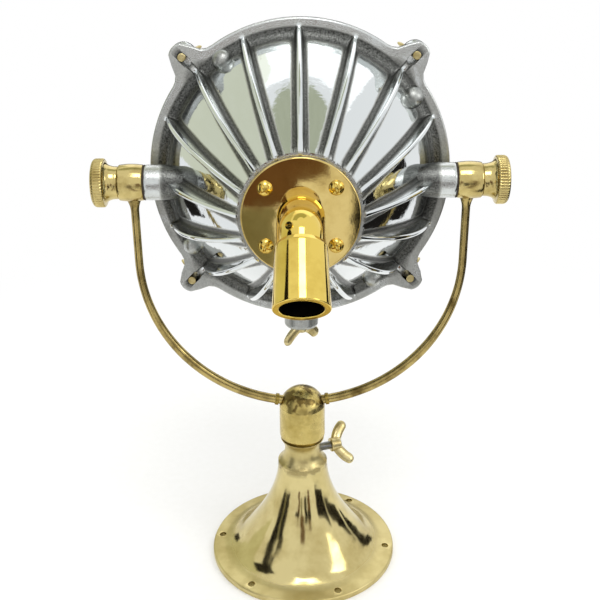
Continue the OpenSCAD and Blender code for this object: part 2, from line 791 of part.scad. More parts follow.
// Stud of a tilt knob, through the bush and into the housing's boss
module tilt_stud(side) {
    end_gap = 1;
    start = boss_reach - stud_depth + end_gap;
    color("#a9a48f") translate([0, 0, tilt_z]) on_side(side) translate([0, 0, start])
        cylinder(r = stud_r, h = knob_rim_x - start);
}

module knob_left() { knob(-1); }
module stud_left() { tilt_stud(-1); }
module knob_right() { knob(1); }
module stud_right() { tilt_stud(1); }

// Wing nut on one ear stud, wings turned a little from the lamp's radius
module wing_nut(i) {
    color("#ddcb8b") in_head() rotate(45 + 90 * i) translate([ear_pitch_r, 0, nut_z]) mirror([0, 0, 1])
        rotate(-nut_turns[i]) winged_head(ear_stud_r + run_clearance, nut_reach, nut_height, nut_end_r);
}

module wing_nut_1() { wing_nut(0); }
module wing_nut_2() { wing_nut(1); }
module wing_nut_3() { wing_nut(2); }
module wing_nut_4() { wing_nut(3); }

module drain_shank() {
    reach_in = 6;
    inner = cone_rim_r - shell_wall - reach_in;
    color("#8d9097") in_head() translate([0, 0, -drain_forward]) rotate([90, 0, 0]) translate([0, 0, inner])
        cylinder(r = wing_shank_r, h = drain_head_r + wing_barrel_l - shank_inset - inner);
}

module drain_wing() {
    color("#e0cf93") in_head() translate([0, 0, -drain_forward]) rotate([90, 0, 0])
        translate([0, 0, drain_head_r]) rotate(drain_wing_turn)
            winged_head(wing_shank_r, wing_reach, wing_height, wing_end_r);
}

base_pedestal();
thrust_washer();
clamp_shank();
clamp_wing();
yoke_hub();
yoke_spindle();
arm_left();
arm_right();
arm_collars();
bush_left();
bush_right();
rear_housing();
trunnion_washers();
outlet_gasket();
outlet_flange();
flange_screws();
elbow_bend();
outlet_sleeve();
elbow_set_screw();
bezel();
lens_gasket();
lens_glass();
lens_ring();
rim_gasket();
reflector();
lamp_stem();
lamp_holder();
bulb_cap();
bulb();
ear_studs();
knob_left();
stud_left();
knob_right();
stud_right();
wing_nut_1();
wing_nut_2();
wing_nut_3();
wing_nut_4();
drain_shank();
drain_wing();
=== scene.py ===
# Marine searchlight: a ribbed aluminium lamp head in a brass yoke on a brass pedestal, seen from behind and above.
import bmesh
import bpy
import numpy as np
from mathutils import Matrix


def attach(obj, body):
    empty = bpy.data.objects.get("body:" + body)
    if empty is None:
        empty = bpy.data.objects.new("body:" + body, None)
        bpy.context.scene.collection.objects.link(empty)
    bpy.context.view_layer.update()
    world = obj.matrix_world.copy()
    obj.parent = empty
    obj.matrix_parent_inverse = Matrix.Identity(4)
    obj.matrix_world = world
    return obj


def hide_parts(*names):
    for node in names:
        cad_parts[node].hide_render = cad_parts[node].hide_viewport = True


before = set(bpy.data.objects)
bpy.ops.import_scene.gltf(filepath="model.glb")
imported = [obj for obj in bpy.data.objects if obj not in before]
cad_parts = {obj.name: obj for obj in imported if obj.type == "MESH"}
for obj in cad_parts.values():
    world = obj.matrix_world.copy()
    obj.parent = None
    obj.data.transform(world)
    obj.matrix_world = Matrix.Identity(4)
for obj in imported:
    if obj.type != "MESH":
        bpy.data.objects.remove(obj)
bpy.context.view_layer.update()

# Studio: a pale matt paper floor in a white room, lit by soft boxes and by the room itself.
# Cloth screens stand and hang round the lamp. Only polished metal sees them, as its dark streaks and tinted fields.
scene = bpy.context.scene
scene.view_settings.view_transform = "Standard"

camera = bpy.data.objects.new("camera", bpy.data.cameras.new("camera"))
camera.data.lens = 60.0
camera.data.sensor_width = 36.0
camera.location = (-0.001, -0.7156, 0.5664)
camera.rotation_mode = "ZXY"
camera.rotation_euler = np.radians((65.4, 0.0, -0.5))
scene.collection.objects.link(camera)
scene.camera = camera


def hex_linear(code):
    """sRGB hex to linear: a channel c is c / 12.92 up to 0.04045, and ((c + 0.055) / 1.055) to the power 2.4 above."""
    c = np.array([int(code[i:i + 2], 16) for i in (1, 3, 5)]) / 255.0
    linear = np.where(c <= 0.04045, c / 12.92, ((c + 0.055) / 1.055) ** 2.4)
    return (*linear.tolist(), 1.0)


def add(tree, kind, inputs=(), **settings):
    """Adds one node: settings are its properties, inputs are (socket, value), where a value may be an output socket."""
    made = tree.nodes.new(kind)
    for name, value in settings.items():
        setattr(made, name, value)
    for socket, value in inputs:
        if isinstance(value, bpy.types.NodeSocket):
            tree.links.new(value, made.inputs[socket])
        else:
            made.inputs[socket].default_value = value
    return made


def calc(tree, operation, *values, **settings):
    """One step of arithmetic on values that are numbers or sockets."""
    return add(tree, "ShaderNodeMath", enumerate(values), operation=operation, **settings).outputs[0]


def spread(tree, value, start, end, low=0.0, high=1.0, **settings):
    """Takes a value from the range start to end over to the range low to high, and holds it at their ends."""
    return add(tree, "ShaderNodeMapRange", [("Value", value), ("From Min", start), ("From Max", end), ("To Min", low),
                                            ("To Max", high)], **settings).outputs["Result"]


def noise(tree, size_mm, detail=2.0, roughness=0.5):
    """Soft blotches of about this size that are fixed to the piece, between 0 and 1."""
    where = add(tree, "ShaderNodeTexCoord")
    return add(tree, "ShaderNodeTexNoise", [("Vector", where.outputs["Object"]), ("Scale", 1000 / size_mm),
                                            ("Detail", detail), ("Roughness", roughness)]).outputs["Fac"]


def blend(tree, factor, first, second):
    """A colour between two others, each of them a hex code or a socket."""
    a, b = (hex_linear(c) if isinstance(c, str) else c for c in (first, second))
    return add(tree, "ShaderNodeMix", [("Factor", factor), ("A", a), ("B", b)], data_type="RGBA").outputs["Result"]


def seen(tree):
    """1 for what the camera sees straight, in a mirror or through glass, and 0 for what only sheds light."""
    ray = add(tree, "ShaderNodeLightPath").outputs
    sharp = calc(tree, "MAXIMUM", ray["Is Camera Ray"], ray["Is Glossy Ray"])
    return calc(tree, "MAXIMUM", sharp, ray["Is Transmission Ray"])


def new_finish(name):
    """An empty material, and its node tree to which a section adds the finish."""
    finish = bpy.data.materials.new(name)
    finish.use_nodes = True
    finish.node_tree.nodes.clear()
    return finish, finish.node_tree


def show(tree, kind, inputs):
    """Adds the shader that the eye sees, and ends the material with it."""
    shader = add(tree, kind, inputs)
    add(tree, "ShaderNodeOutputMaterial", [("Surface", shader.outputs[0])])


def mesh_object(name, patches, crease=32.0, **values):
    """One mesh from grids of points in mm, each of rows by columns by xyz, with a quad between neighbours.
    Points that coincide are merged, which closes seams and poles, and edges sharper than crease stay sharp.
    Each further value is a number for every point, kept as an attribute of that name."""
    points = np.concatenate([p.reshape(-1, 3) for p in patches]) * 0.001
    quads, first = [], 0
    for p in patches:
        index = np.arange(first, first + p.shape[0] * p.shape[1]).reshape(p.shape[:2])
        quads.append(np.stack([index[:-1, :-1], index[1:, :-1], index[1:, 1:], index[:-1, 1:]], -1).reshape(-1, 4))
        first += index.size
    mesh = bpy.data.meshes.new(name)
    mesh.from_pydata(points.tolist(), [], np.concatenate(quads).tolist())
    for label, numbers in values.items():
        mesh.attributes.new(label, "FLOAT", "POINT").data.foreach_set("value", numbers.astype(np.float32).ravel())
    work = bmesh.new()
    work.from_mesh(mesh)
    bmesh.ops.remove_doubles(work, verts=work.verts, dist=2e-6)
    bmesh.ops.dissolve_degenerate(work, edges=work.edges, dist=1e-7)
    bmesh.ops.recalc_face_normals(work, faces=work.faces)
    work.to_mesh(mesh)
    work.free()
    mesh.shade_smooth()
    mesh.set_sharp_from_angle(angle=np.radians(crease))
    obj = bpy.data.objects.new(name, mesh)
    scene.collection.objects.link(obj)
    return obj


def polar(r, a, z):
    """Points at radius r and angle a round the Z axis and at height z, where the three broadcast to one grid."""
    return np.stack(np.broadcast_arrays(r * np.cos(a), r * np.sin(a), z), -1)


world = bpy.data.worlds.new("white_room")
scene.world = world
world.use_nodes = True
tree = world.node_tree
tree.nodes.clear()
glow = add(tree, "ShaderNodeBackground", [("Color", hex_linear("#ffffff")),
                                          ("Strength", spread(tree, seen(tree), 0.0, 1.0, 0.92, 1.0))])
add(tree, "ShaderNodeOutputWorld", [("Surface", glow.outputs[0])])

# Matt paper: fibres of about 6 mm vary its white, and it has next to no shine. It keeps the lamp's shadow,
# and from 0.2 to 0.75 m out it runs into the white of the room
paper, tree = new_finish("matt_white_paper")
tone = blend(tree, noise(tree, 6.0, 3.0), "#f6f6f3", "#fbfbf9")
face = add(tree, "ShaderNodeBsdfPrincipled", [("Base Color", tone), ("Roughness", 0.9), ("Specular IOR Level", 0.1)])
where = add(tree, "ShaderNodeTexCoord")
away = add(tree, "ShaderNodeVectorMath", [(0, where.outputs["Object"])], operation="LENGTH").outputs["Value"]
away = spread(tree, away, 0.2, 0.75, interpolation_type="SMOOTHSTEP")
white = add(tree, "ShaderNodeEmission", [("Color", hex_linear("#ffffff")), ("Strength", 1.0)])
show(tree, "ShaderNodeMixShader", [(0, calc(tree, "MULTIPLY", seen(tree), away)), (1, face.outputs[0]),
                                   (2, white.outputs[0])])
side = np.linspace(-4000.0, 4000.0, 9)
floor = mesh_object("floor", [np.stack(np.broadcast_arrays(side[:, None], side[None, :], 0.0), -1)])
floor.data.materials.append(paper)

# Soft boxes, in m, degrees and W: above the camera, at its right, and a wide one on the lamp's front
for name, at, turn, width, height, power in (
        ("box_above", (0.1, -0.78, 1.9), (22.0, 3.0, 0.0), 0.7, 0.7, 8.0),
        ("box_right", (1.5, -0.7, 1.1), (58.0, 0.0, 65.0), 0.6, 0.9, 5.0),
        ("box_front", (0.0, 1.6, 1.35), (-53.0, 0.0, 0.0), 2.4, 1.4, 5.0)):
    lamp = bpy.data.lights.new(name, "AREA")
    lamp.shape = "RECTANGLE"
    lamp.size, lamp.size_y, lamp.energy = width, height, power
    stand = bpy.data.objects.new(name, lamp)
    stand.location = at
    stand.rotation_euler = np.radians(turn)
    scene.collection.objects.link(stand)


def cloth(name, dark, light):
    """Screen cloth: it looks even and matt, and its folds, about 150 mm apart, vary its tone."""
    finish, tree = new_finish(name)
    show(tree, "ShaderNodeEmission", [("Color", blend(tree, noise(tree, 150.0), dark, light)), ("Strength", 1.0)])
    return finish


black_cloth = cloth("black_cloth", "#0c0b0a", "#2a2724")
brown_cloth = cloth("brown_cloth", "#523527", "#84674e")
olive_cloth = cloth("olive_cloth", "#7d7c6c", "#9a9988")
pale_cloth = cloth("pale_cloth", "#dcdec6", "#e4e6d2")
green_cloth = cloth("green_cloth", "#b4b89e", "#c6c9b1")
# Screens hang on an arc round the lamp. Of each: bearing from behind the lamp, width in degrees, where its cloth
# starts on the floor and where it stands, both in mm from the lamp's middle, and the heights of its edges
for number, (bearing, wide, near, far, low, high, finish) in enumerate((
        (-74.0, 36.0, 1500.0, 1500.0, 850.0, 1750.0, black_cloth),
        (-70.0, 12.0, 350.0, 1500.0, 0.0, 900.0, black_cloth),
        (-61.5, 5.0, 400.0, 1400.0, 0.0, 560.0, olive_cloth),
        (-53.5, 11.0, 450.0, 1300.0, 0.0, 700.0, black_cloth),
        (-14.0, 6.0, 450.0, 1500.0, 0.0, 480.0, brown_cloth),
        (-3.6, 7.0, 900.0, 900.0, 205.0, 520.0, brown_cloth),
        (1.3, 2.8, 900.0, 900.0, 246.0, 520.0, brown_cloth),
        (-4.9, 5.0, 900.0, 900.0, 40.0, 205.0, olive_cloth),
        (8.9, 8.0, 900.0, 900.0, 0.0, 340.0, black_cloth),
        (-17.0, 11.0, 900.0, 900.0, 175.0, 262.0, black_cloth),
        (19.0, 11.0, 890.0, 890.0, 175.0, 262.0, black_cloth),
        (20.0, 8.0, 500.0, 1500.0, 0.0, 600.0, brown_cloth),
        (60.0, 30.0, 300.0, 800.0, 0.0, 190.0, black_cloth),
        (95.0, 34.0, 500.0, 1300.0, 0.0, 190.0, black_cloth),
        (122.0, 14.0, 350.0, 1500.0, 0.0, 360.0, black_cloth),
        (128.0, 14.0, 650.0, 650.0, 0.0, 150.0, black_cloth),
        (-135.0, 9.0, 700.0, 700.0, 0.0, 130.0, black_cloth),
        (180.0, 54.0, 1500.0, 1500.0, 200.0, 640.0, black_cloth),
        (-125.0, 70.0, 1500.0, 1500.0, 150.0, 1950.0, pale_cloth),
        (192.0, 100.0, 700.0, 1560.0, 2500.0, 2501.0, green_cloth))):
    bearings = np.radians(bearing - 90.0 + np.linspace(-wide / 2, wide / 2, 2 + int(wide / 3)))
    grid = polar(np.array([[near], [far], [far]]), bearings, np.array([[low + 1.0], [low + 1.0], [high]]))
    screen = mesh_object("screen_%d" % number, [grid])
    screen.data.materials.append(finish)
    for ray in ("camera", "diffuse", "shadow", "transmission"):
        setattr(screen, "visible_" + ray, False)

# Pedestal: the trumpet foot that is screwed to the deck. Cast yellow brass, turned on a lathe and then buffed,
# so it has a mirror finish on the flare and a softer one on the flat flange.


def rounded(corners, steps=6):
    """A profile of straight lines whose corners are arcs. A corner is (x, y, radius), and its arc touches both lines:
    it starts radius / tan(half the corner's angle) away, and a point just outside each end keeps the flats flat."""
    corners = np.array(corners, float)
    at, radius = corners[1:-1, :2], corners[1:-1, 2]
    back, ahead = corners[:-2, :2] - at, corners[2:, :2] - at
    back /= np.linalg.norm(back, axis=1, keepdims=True)
    ahead /= np.linalg.norm(ahead, axis=1, keepdims=True)
    half = np.arccos(np.clip((back * ahead).sum(1), -1.0, 1.0)) / 2
    cut = (radius / np.tan(half))[:, None]
    turn = np.maximum(np.pi - 2 * half, 1e-6)[:, None]
    middle = (back + ahead) / np.maximum(np.linalg.norm(back + ahead, axis=1, keepdims=True), 1e-9)
    centre = at + middle * (radius / np.sin(half))[:, None]
    t = np.linspace(0.0, 1.0, steps + 1)
    start, end = at + back * cut - centre, at + ahead * cut - centre
    share = np.sin((1 - t) * turn) / np.sin(turn), np.sin(t * turn) / np.sin(turn)
    arc = centre[:, None] + share[0][..., None] * start[:, None] + share[1][..., None] * end[:, None]
    keep = 0.15 * radius[:, None]
    arc = np.concatenate([(at + back * (cut + keep))[:, None], arc, (at + ahead * (cut + keep))[:, None]], 1)
    return np.concatenate([corners[:1, :2], arc.reshape(-1, 2), corners[-1:, :2]])


def turned(profile, around=144):
    """A lathe's surface: each profile point (radius, height) runs once round the Z axis."""
    r, z = np.asarray(profile, float).T[..., None]
    return polar(r, np.linspace(0.0, 2 * np.pi, around + 1), z)


def spun(degrees):
    """The axes of a frame that is turned about Z."""
    c, s = np.cos(np.radians(degrees)), np.sin(np.radians(degrees))
    return np.array([(c, s, 0.0), (-s, c, 0.0), (0.0, 0.0, 1.0)])


def place(points, origin, axes):
    """Moves points from a piece's own frame: the rows of axes are where its X, Y and Z point."""
    return points @ np.array(axes, float) + np.array(origin, float)


def drill(obj, cutters):
    """Cuts closed patches out of a piece, as a drill does, and keeps the result as its mesh."""
    tool = mesh_object(obj.name + "_drill", cutters)
    cut = obj.modifiers.new("drill", "BOOLEAN")
    cut.operation, cut.solver, cut.object = "DIFFERENCE", "EXACT", tool
    done = bpy.data.meshes.new_from_object(obj.evaluated_get(bpy.context.evaluated_depsgraph_get()))
    obj.modifiers.clear()
    obj.data = done
    bpy.data.objects.remove(tool)
    done.set_sharp_from_angle(angle=np.radians(32.0))


def fitted(obj, body, slot, finish, *nodes):
    """Gives a piece its finish, its body and the CAD nodes that it stands for."""
    obj.data.materials.append(finish)
    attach(obj, body)
    if nodes:
        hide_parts(*nodes)


def refinish(finish, *nodes):
    """A CAD node whose shape is right keeps it and takes this finish."""
    for node in nodes:
        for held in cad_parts[node].material_slots:
            held.material = finish


def bump(tree, height, strength, depth_mm, over=()):
    """Relief of this depth where height is 1. It may lie over other relief, given as [("Normal", socket)]."""
    return add(tree, "ShaderNodeBump", [("Height", height), ("Strength", strength), ("Distance", depth_mm / 1000),
                                        *over]).outputs["Normal"]


def brass(name, bright, dull, cloud_mm, smooth, rough, grit_mm, grit_depth, wave_depth=0.02):
    """Yellow brass: clouds of thin tarnish between two tones, and polishing grit that roughens and dimples it.
    Buffing by hand leaves the face wavy, over about 14 mm. The attribute dulled marks stretches that stay satin,
    and stained marks those with brown spots of about 8 mm."""
    finish, tree = new_finish(name)
    dulled = add(tree, "ShaderNodeAttribute", attribute_name="dulled").outputs["Fac"]
    stained = add(tree, "ShaderNodeAttribute", attribute_name="stained").outputs["Fac"]
    cloud = noise(tree, cloud_mm, 4.0, 0.6)
    metal = blend(tree, spread(tree, cloud, 0.42, 0.72), bright, dull)
    tone = blend(tree, spread(tree, noise(tree, 8.0), 0.46, 0.56, 0.0, stained), metal, "#5b4a26")
    gloss = calc(tree, "MULTIPLY_ADD", dulled, 0.26, spread(tree, cloud, 0.3, 0.75, smooth, rough))
    wave = bump(tree, noise(tree, 14.0, 1.0), 1.0, wave_depth)
    dimple = bump(tree, noise(tree, grit_mm, 3.0), 0.3, grit_depth, [("Normal", wave)])
    show(tree, "ShaderNodeBsdfPrincipled", [("Base Color", tone), ("Metallic", 1.0), ("Roughness", gloss),
                                            ("Normal", dimple)])
    return finish


# Buffed casting: a clear mirror in pale yellow, a little hazier where the wheel reached less
buffed_brass = brass("buffed_cast_brass", "#d3c48c", "#b8a76d", 30.0, 0.08, 0.19, 1.6, 0.02, 0.34)
flange_r, flange_h, foot_r, foot_h, neck_top, shoulder_h, throat_r = 79.0, 5.0, 62.0, 7.0, 113.0, 91.0, 20.6
wall_t, hollow_top, socket_r, socket_floor = 5.0, 53.0, 8.3, 100.0


def flare_at(height):
    """The trumpet's profile: its radius grows from the throat to the foot with the power 1.9 of the way down."""
    down = (shoulder_h - height) / (shoulder_h - foot_h)
    return np.stack([throat_r + (foot_r - throat_r) * down ** 1.9, height], 1)


flare = flare_at(np.linspace(14.0, shoulder_h - 0.8, 60))
hollow = flare_at(np.linspace(foot_h, hollow_top + wall_t, 20)) - wall_t
# The flare runs out into the flange on a curve that touches both: (1-t)^2 A + 2t(1-t) C + t^2 D
t = np.linspace(0.0, 1.0, 13)[:, None]
run_out = (1 - t) ** 2 * np.array([70.0, 6.0]) + 2 * t * (1 - t) * np.array([62.5, 6.9]) + t ** 2 * flare[0]
# The neck is a spool: its groove is part of a circle
groove_at, groove_r, neck_r, lip_r = 103.1, 15.7, 14.7, 18.0
groove_h = np.linspace(shoulder_h + 0.7, neck_top - 0.5, 30)
groove = np.stack([neck_r + groove_r - np.sqrt(groove_r ** 2 - (groove_h - groove_at) ** 2), groove_h], 1)
edge = rounded([(foot_r - wall_t, 0.0, 0), (flange_r, 0.0, 0.8), (flange_r, flange_h, 1.6), (71.0, 5.9, 0)])
shoulder = rounded([(*flare[-1], 0), (throat_r, shoulder_h, 0.4), (*groove[0], 0)])[1:-1]
top = rounded([(*groove[-1], 0), (lip_r, neck_top - 0.2, 0.1), (lip_r - 0.3, neck_top, 0.1),
               (socket_r, neck_top, 0)])[1:]
profile = np.concatenate([[[0.0, hollow_top]], hollow[::-1], edge, run_out, flare, shoulder, groove, top,
                          [[socket_r, socket_floor], [0.0, socket_floor]]])
# The flat flange and the neck are only rubbed down, and brown spots stay on the shoulder, out of the wheel's reach
around = 192
rubbed = np.clip((profile[:, :1] - 60.0) / 6.0, 0.0, 1.0) + 0.8 * np.clip((profile[:, 1:] - 84.0) / 6.0, 0.0, 1.0)
spots = 0.5 * np.clip(1.5 - np.abs(profile[:, 1:] - 90.0) / 4.0, 0.0, 1.0)
pedestal = mesh_object("pedestal", [turned(profile, around)], 40.0, dulled=np.repeat(rubbed, around + 1, 1),
                       stained=np.repeat(spots, around + 1, 1))
hole_r, hole_circle_r, holes, first_hole = 3.0, 72.0, 6, -7.0
drill_bit = turned([(0.0, -2.0), (hole_r, -2.0), (hole_r, 12.0), (0.0, 12.0)], 32)
drill(pedestal, [drill_bit + [hole_circle_r, 0.0, 0.0] @ spun(first_hole + 360.0 / holes * i) for i in range(holes)])
fitted(pedestal, "base", "cast_brass", buffed_brass, "base_pedestal")

# Thrust washer: a thin ring between the pedestal and the yoke's hub, which turns on it.
# It is punched from brass sheet, and wear and grease leave it brown and dull.
worn_brass = brass("worn_sheet_brass", "#a8924c", "#6f5d2c", 6.0, 0.25, 0.45, 0.8, 0.02)
refinish(worn_brass, "thrust_washer")

# Clamp screw: the winged screw that locks the swivel. A steel screw in a cast brass head with two finger wings,
# left pale and satin from tumbling.


def threaded(radius, length, pitch=1.25, depth=0.5, around=48):
    """A screw: the radius falls by depth in a V that climbs one pitch a turn, and both ends taper."""
    z = np.linspace(0.0, length, int(length / pitch * 6) + 1)[:, None]
    a = np.linspace(0.0, 2 * np.pi, around + 1)[None, :]
    wave = np.abs(((z / pitch - a / (2 * np.pi)) % 1.0) * 2 - 1)
    end = np.clip(np.minimum(z, length - z) / 1.2, 0.0, 1.0)
    cap = np.zeros((1, around + 1, 3))
    return np.concatenate([cap, polar((radius - depth * wave) * (0.75 + 0.25 * end), a, z), cap + [0.0, 0.0, length]])


def swept(path, wide, thick, around=28, side=(0.0, 1.0, 0.0)):
    """An oval carried along a path and closed at the path's ends: its half width lies across the path, its half
    thickness along side."""
    path, side = np.asarray(path, float), np.asarray(side, float)
    ahead = np.gradient(path, axis=0)
    ahead /= np.linalg.norm(ahead, axis=1, keepdims=True)
    across = np.cross(ahead, side)
    a = np.linspace(0.0, 2 * np.pi, around + 1)[None, :, None]
    wide, thick = (np.broadcast_to(half, len(path))[:, None, None] for half in (wide, thick))
    skin = path[:, None] + np.cos(a) * wide * across[:, None] + np.sin(a) * thick * side
    return np.concatenate([path[:1, None] + 0 * skin[:1], skin, path[-1:, None] + 0 * skin[:1]])


def wings(turn, reach=17.0, height=17.0, half=4.6, flat=2.2):
    """A winged head on its foot: a turned barrel, and two fingers that leave it at a slant and end in a half round.
    A finger's half width is that of a capsule, so it falls as the root of 1 - x^2 over its last stretch."""
    barrel = turned(rounded([(0.0, 0.0, 0), (6.0, 0.0, 0.7), (5.2, 9.0, 1.2), (0.0, 9.0, 0)]), 48)
    t = np.concatenate([np.linspace(0.0, 0.8, 12), 0.8 + 0.2 * np.sin(np.linspace(0.0, np.pi / 2, 12)[1:])])[:, None]
    line = np.array([1.0, 0.0, half]) * (1 - t) + np.array([reach, 0.0, height]) * t
    line = line + np.array([1.0, 0.0, -1.0]) * (0.065 * reach * np.sin(np.pi * t))
    t = t[:, 0]
    end = np.sqrt(1.0 - np.clip((t - 0.8) / 0.2, 0.0, 1.0) ** 2)
    finger = swept(line, half * (0.9 + 0.1 * np.sin(np.pi * t)) * end, flat * (1.1 - 0.2 * t) * end)
    return [p @ spun(turn) for p in (barrel, finger, finger * [-1.0, -1.0, 1.0])]


def machined(name, bright, dull, smooth, rough):
    """Turned metal: marks about 0.4 mm apart blur its gloss, and faint stains of about 9 mm vary its tone."""
    finish, tree = new_finish(name)
    tone = blend(tree, noise(tree, 9.0, 4.0), bright, dull)
    gloss = spread(tree, noise(tree, 0.4), 0.0, 1.0, smooth, rough)
    show(tree, "ShaderNodeBsdfPrincipled", [("Base Color", tone), ("Metallic", 1.0), ("Roughness", gloss)])
    return finish


# Zinc plating: a cool grey with a blurred sheen. Tumbled brass: pale and even, with brown left in small clouds
zinc_steel = machined("zinc_plated_steel", "#a9acb0", "#7d8086", 0.22, 0.45)
tumbled_brass = brass("tumbled_cast_brass", "#d6c896", "#9c8850", 9.0, 0.24, 0.4, 0.9, 0.05)
screw_r, clamp_h, clamp_tip, clamp_foot, clamp_l = 3.5, 98.7, 8.3, 25.2, 22.9
out, across, up = spun(20.0)
clamp_axes = (-up, across, out)
clamp_shank = mesh_object("clamp_screw_shank", [place(threaded(screw_r, clamp_l), clamp_h * up + clamp_tip * out,
                                                      clamp_axes)])
fitted(clamp_shank, "clamp_screw", "steel", zinc_steel, "clamp_shank")
clamp_head = mesh_object("clamp_screw_wings", [place(p, clamp_h * up + clamp_foot * out, clamp_axes)
                                               for p in wings(-40.0)])
fitted(clamp_head, "clamp_screw", "wing_brass", tumbled_brass, "clamp_wing")

# Yoke hub: a domed boss that turns on the pedestal, cast in brass and turned, with a satin face.
# Its steel spindle is pressed in from below, and brown spots gather on the dome, under the lamp.
satin_brass = brass("satin_turned_brass", "#cbb873", "#b29d58", 14.0, 0.22, 0.38, 0.9, 0.03)
hub_foot, hub_r, hub_top, dome_h, hub_around = 114.3, 18.7, 144.3, 16.0, 144
dome_r = (hub_r ** 2 + dome_h ** 2) / (2 * dome_h)
swing = np.linspace(np.arcsin(hub_r / dome_r), 0.0, 25)[1:]
dome = np.stack([dome_r * np.sin(swing), hub_top + dome_h - dome_r + dome_r * np.cos(swing)], 1)
barrel = rounded([(0.0, hub_foot, 0), (hub_r, hub_foot, 3.0), (hub_r, hub_top, 1.5), (*dome[2], 0)], 10)
hub_line = np.concatenate([barrel, dome[3:]])
spots = np.clip((hub_line[:, 1:] - 143.0) / 5.0, 0.0, 0.9)
hub = mesh_object("yoke_hub_dome", [turned(hub_line, hub_around)], stained=np.repeat(spots, hub_around + 1, 1))
fitted(hub, "yoke", "turned_brass", satin_brass, "yoke_hub")
refinish(zinc_steel, "yoke_spindle")

# Yoke arms: drawn brass rod bent in a quarter circle and brazed into the hub and the barrel bushes.
# The rod is handled but never buffed, so it is browner than the rest.
rod_brass = brass("handled_rod_brass", "#b8a468", "#65532a", 18.0, 0.16, 0.34, 0.7, 0.03)
arm_x, bend_h, rod_r, rod_top, bush_under = 125.0, 272.6, 3.75, 327.1, 323.0
swing = np.radians(np.linspace(4.5, 90.0, 90))
bend = np.stack([arm_x * np.sin(swing), 0 * swing, bend_h - arm_x * np.cos(swing)], 1)
rise = np.linspace(bend_h, rod_top, 40)[1:]
line = np.concatenate([bend, np.stack([arm_x + 0 * rise, 0 * rise, rise], 1)])
# The rod is drawn thinner upwards, and brazing leaves a flare that grows with the square of the last 9 mm
drawn = 0.6 * np.clip((line[:, 2] - 190.0) / 60.0, 0.0, 1.0)
flared = rod_r - drawn + 2.4 * np.clip((line[:, 2] - (bush_under - 9.0)) / 9.0, 0.0, 1.0) ** 2
arm = swept(line, flared, flared, 32)
for name, mirror in (("left", -1.0), ("right", 1.0)):
    fitted(mesh_object("yoke_rod_" + name, [arm * [mirror, 1.0, 1.0]]), "yoke", "rod_brass", rod_brass, "arm_" + name)

# Collars: two small ferrules, turned from brass bar and slid over the rods.
# Each hides the brazed joint where its rod enters the hub, and is as worn as the washer below.
collar_turn, collar_in, collar_out, collar_half = np.radians(9.44), 3.7, 4.8, 1.5
c, s = np.cos(collar_turn), np.sin(collar_turn)
ferrule = turned(rounded([(collar_in, -collar_half, 0), (collar_out, -collar_half, 0.5), (collar_out, collar_half, 0.5),
                          (collar_in, collar_half, 0), (collar_in, -collar_half, 0)]), 48)
ferrule = place(ferrule, (arm_x * s, 0.0, bend_h - arm_x * c), ((-s, 0.0, c), (0.0, -1.0, 0.0), (c, 0.0, s)))
collars = mesh_object("rod_ferrules", [ferrule, ferrule * [-1.0, 1.0, 1.0]])
fitted(collars, "yoke", "turned_brass", worn_brass, "arm_collars")

# Barrel bushes: brass barrels brazed on the rods' tops, which carry the lamp's trunnions.
# They are turned with a slight belly and buffed with the knobs, to a soft yellow mirror.
knob_brass = brass("buffed_knob_brass", "#cdbb7e", "#a89459", 12.0, 0.12, 0.24, 0.8, 0.03)
tilt_h, bush_start, bush_l, bush_r, belly, bush_bore = 336.3, 116.6, 18.5, 13.2, 0.8, 6.1
x = np.linspace(0.6, bush_l - 0.6, 24)
barrel = np.concatenate([[[bush_bore, 0.0], [bush_r - 0.6, 0.0], [bush_r - 0.2, 0.15]],
                         np.stack([bush_r + belly * (1 - (2 * x / bush_l - 1) ** 2), x], 1),
                         [[bush_r - 0.2, bush_l - 0.15], [bush_r - 0.6, bush_l], [bush_bore, bush_l],
                          [bush_bore, 0.0]]])
side_axes = {"left": np.array([(0.0, 0.0, 1.0), (0.0, 1.0, 0.0), (-1.0, 0.0, 0.0)]),
             "right": np.array([(0.0, 0.0, -1.0), (0.0, 1.0, 0.0), (1.0, 0.0, 0.0)])}
for name, axes in side_axes.items():
    bush = mesh_object("barrel_bush_" + name, [place(turned(barrel, 96), tilt_h * up + bush_start * axes[2], axes)])
    fitted(bush, "yoke", "turned_brass", knob_brass, "bush_" + name)

# Rear housing: the lamp's bowl, one sand casting in aluminium with sixteen ribs and four ears.
# Its panels and rib crests are buffed to a mirror, and its rim and corners stay satin and grainy and carry painted
# shade.
tilt = np.radians(4.5)
head_axes = ((1.0, 0.0, 0.0), (0.0, np.sin(tilt), np.cos(tilt)), (0.0, -np.cos(tilt), np.sin(tilt)))


def on_head(points):
    """Moves points from the lamp head's frame, where Z runs backwards along the beam's axis from the tilt axis."""
    return place(points, (0.0, 0.0, tilt_h), head_axes)


rim_r, rim_back, rim_front, seat_r, seat_z, cone_r = 116.0, -30.0, -39.0, 42.0, 97.0, 102.7
slope = (cone_r - seat_r) / (seat_z - rim_back)
lean = np.arctan(slope)
square = np.array([np.cos(lean), np.sin(lean)])
fillet = 10.0
fillet_at = np.array([cone_r - slope * fillet + fillet / np.cos(lean), rim_back + fillet])
swing = np.linspace(np.pi + lean, 1.5 * np.pi, 15)
foot = fillet_at + fillet * np.stack([np.cos(swing), np.sin(swing)], 1)
# The wall is a cone that swells by a half sine wave, 3 mm in its middle, and then turns into the rim
t = np.linspace(0.0, 1.0, 44)[:-1, None] ** 0.9
wall = np.concatenate([np.array([seat_r, seat_z]) * (1 - t) + foot[0] * t + 3.0 * np.sin(np.pi * t) * square, foot])
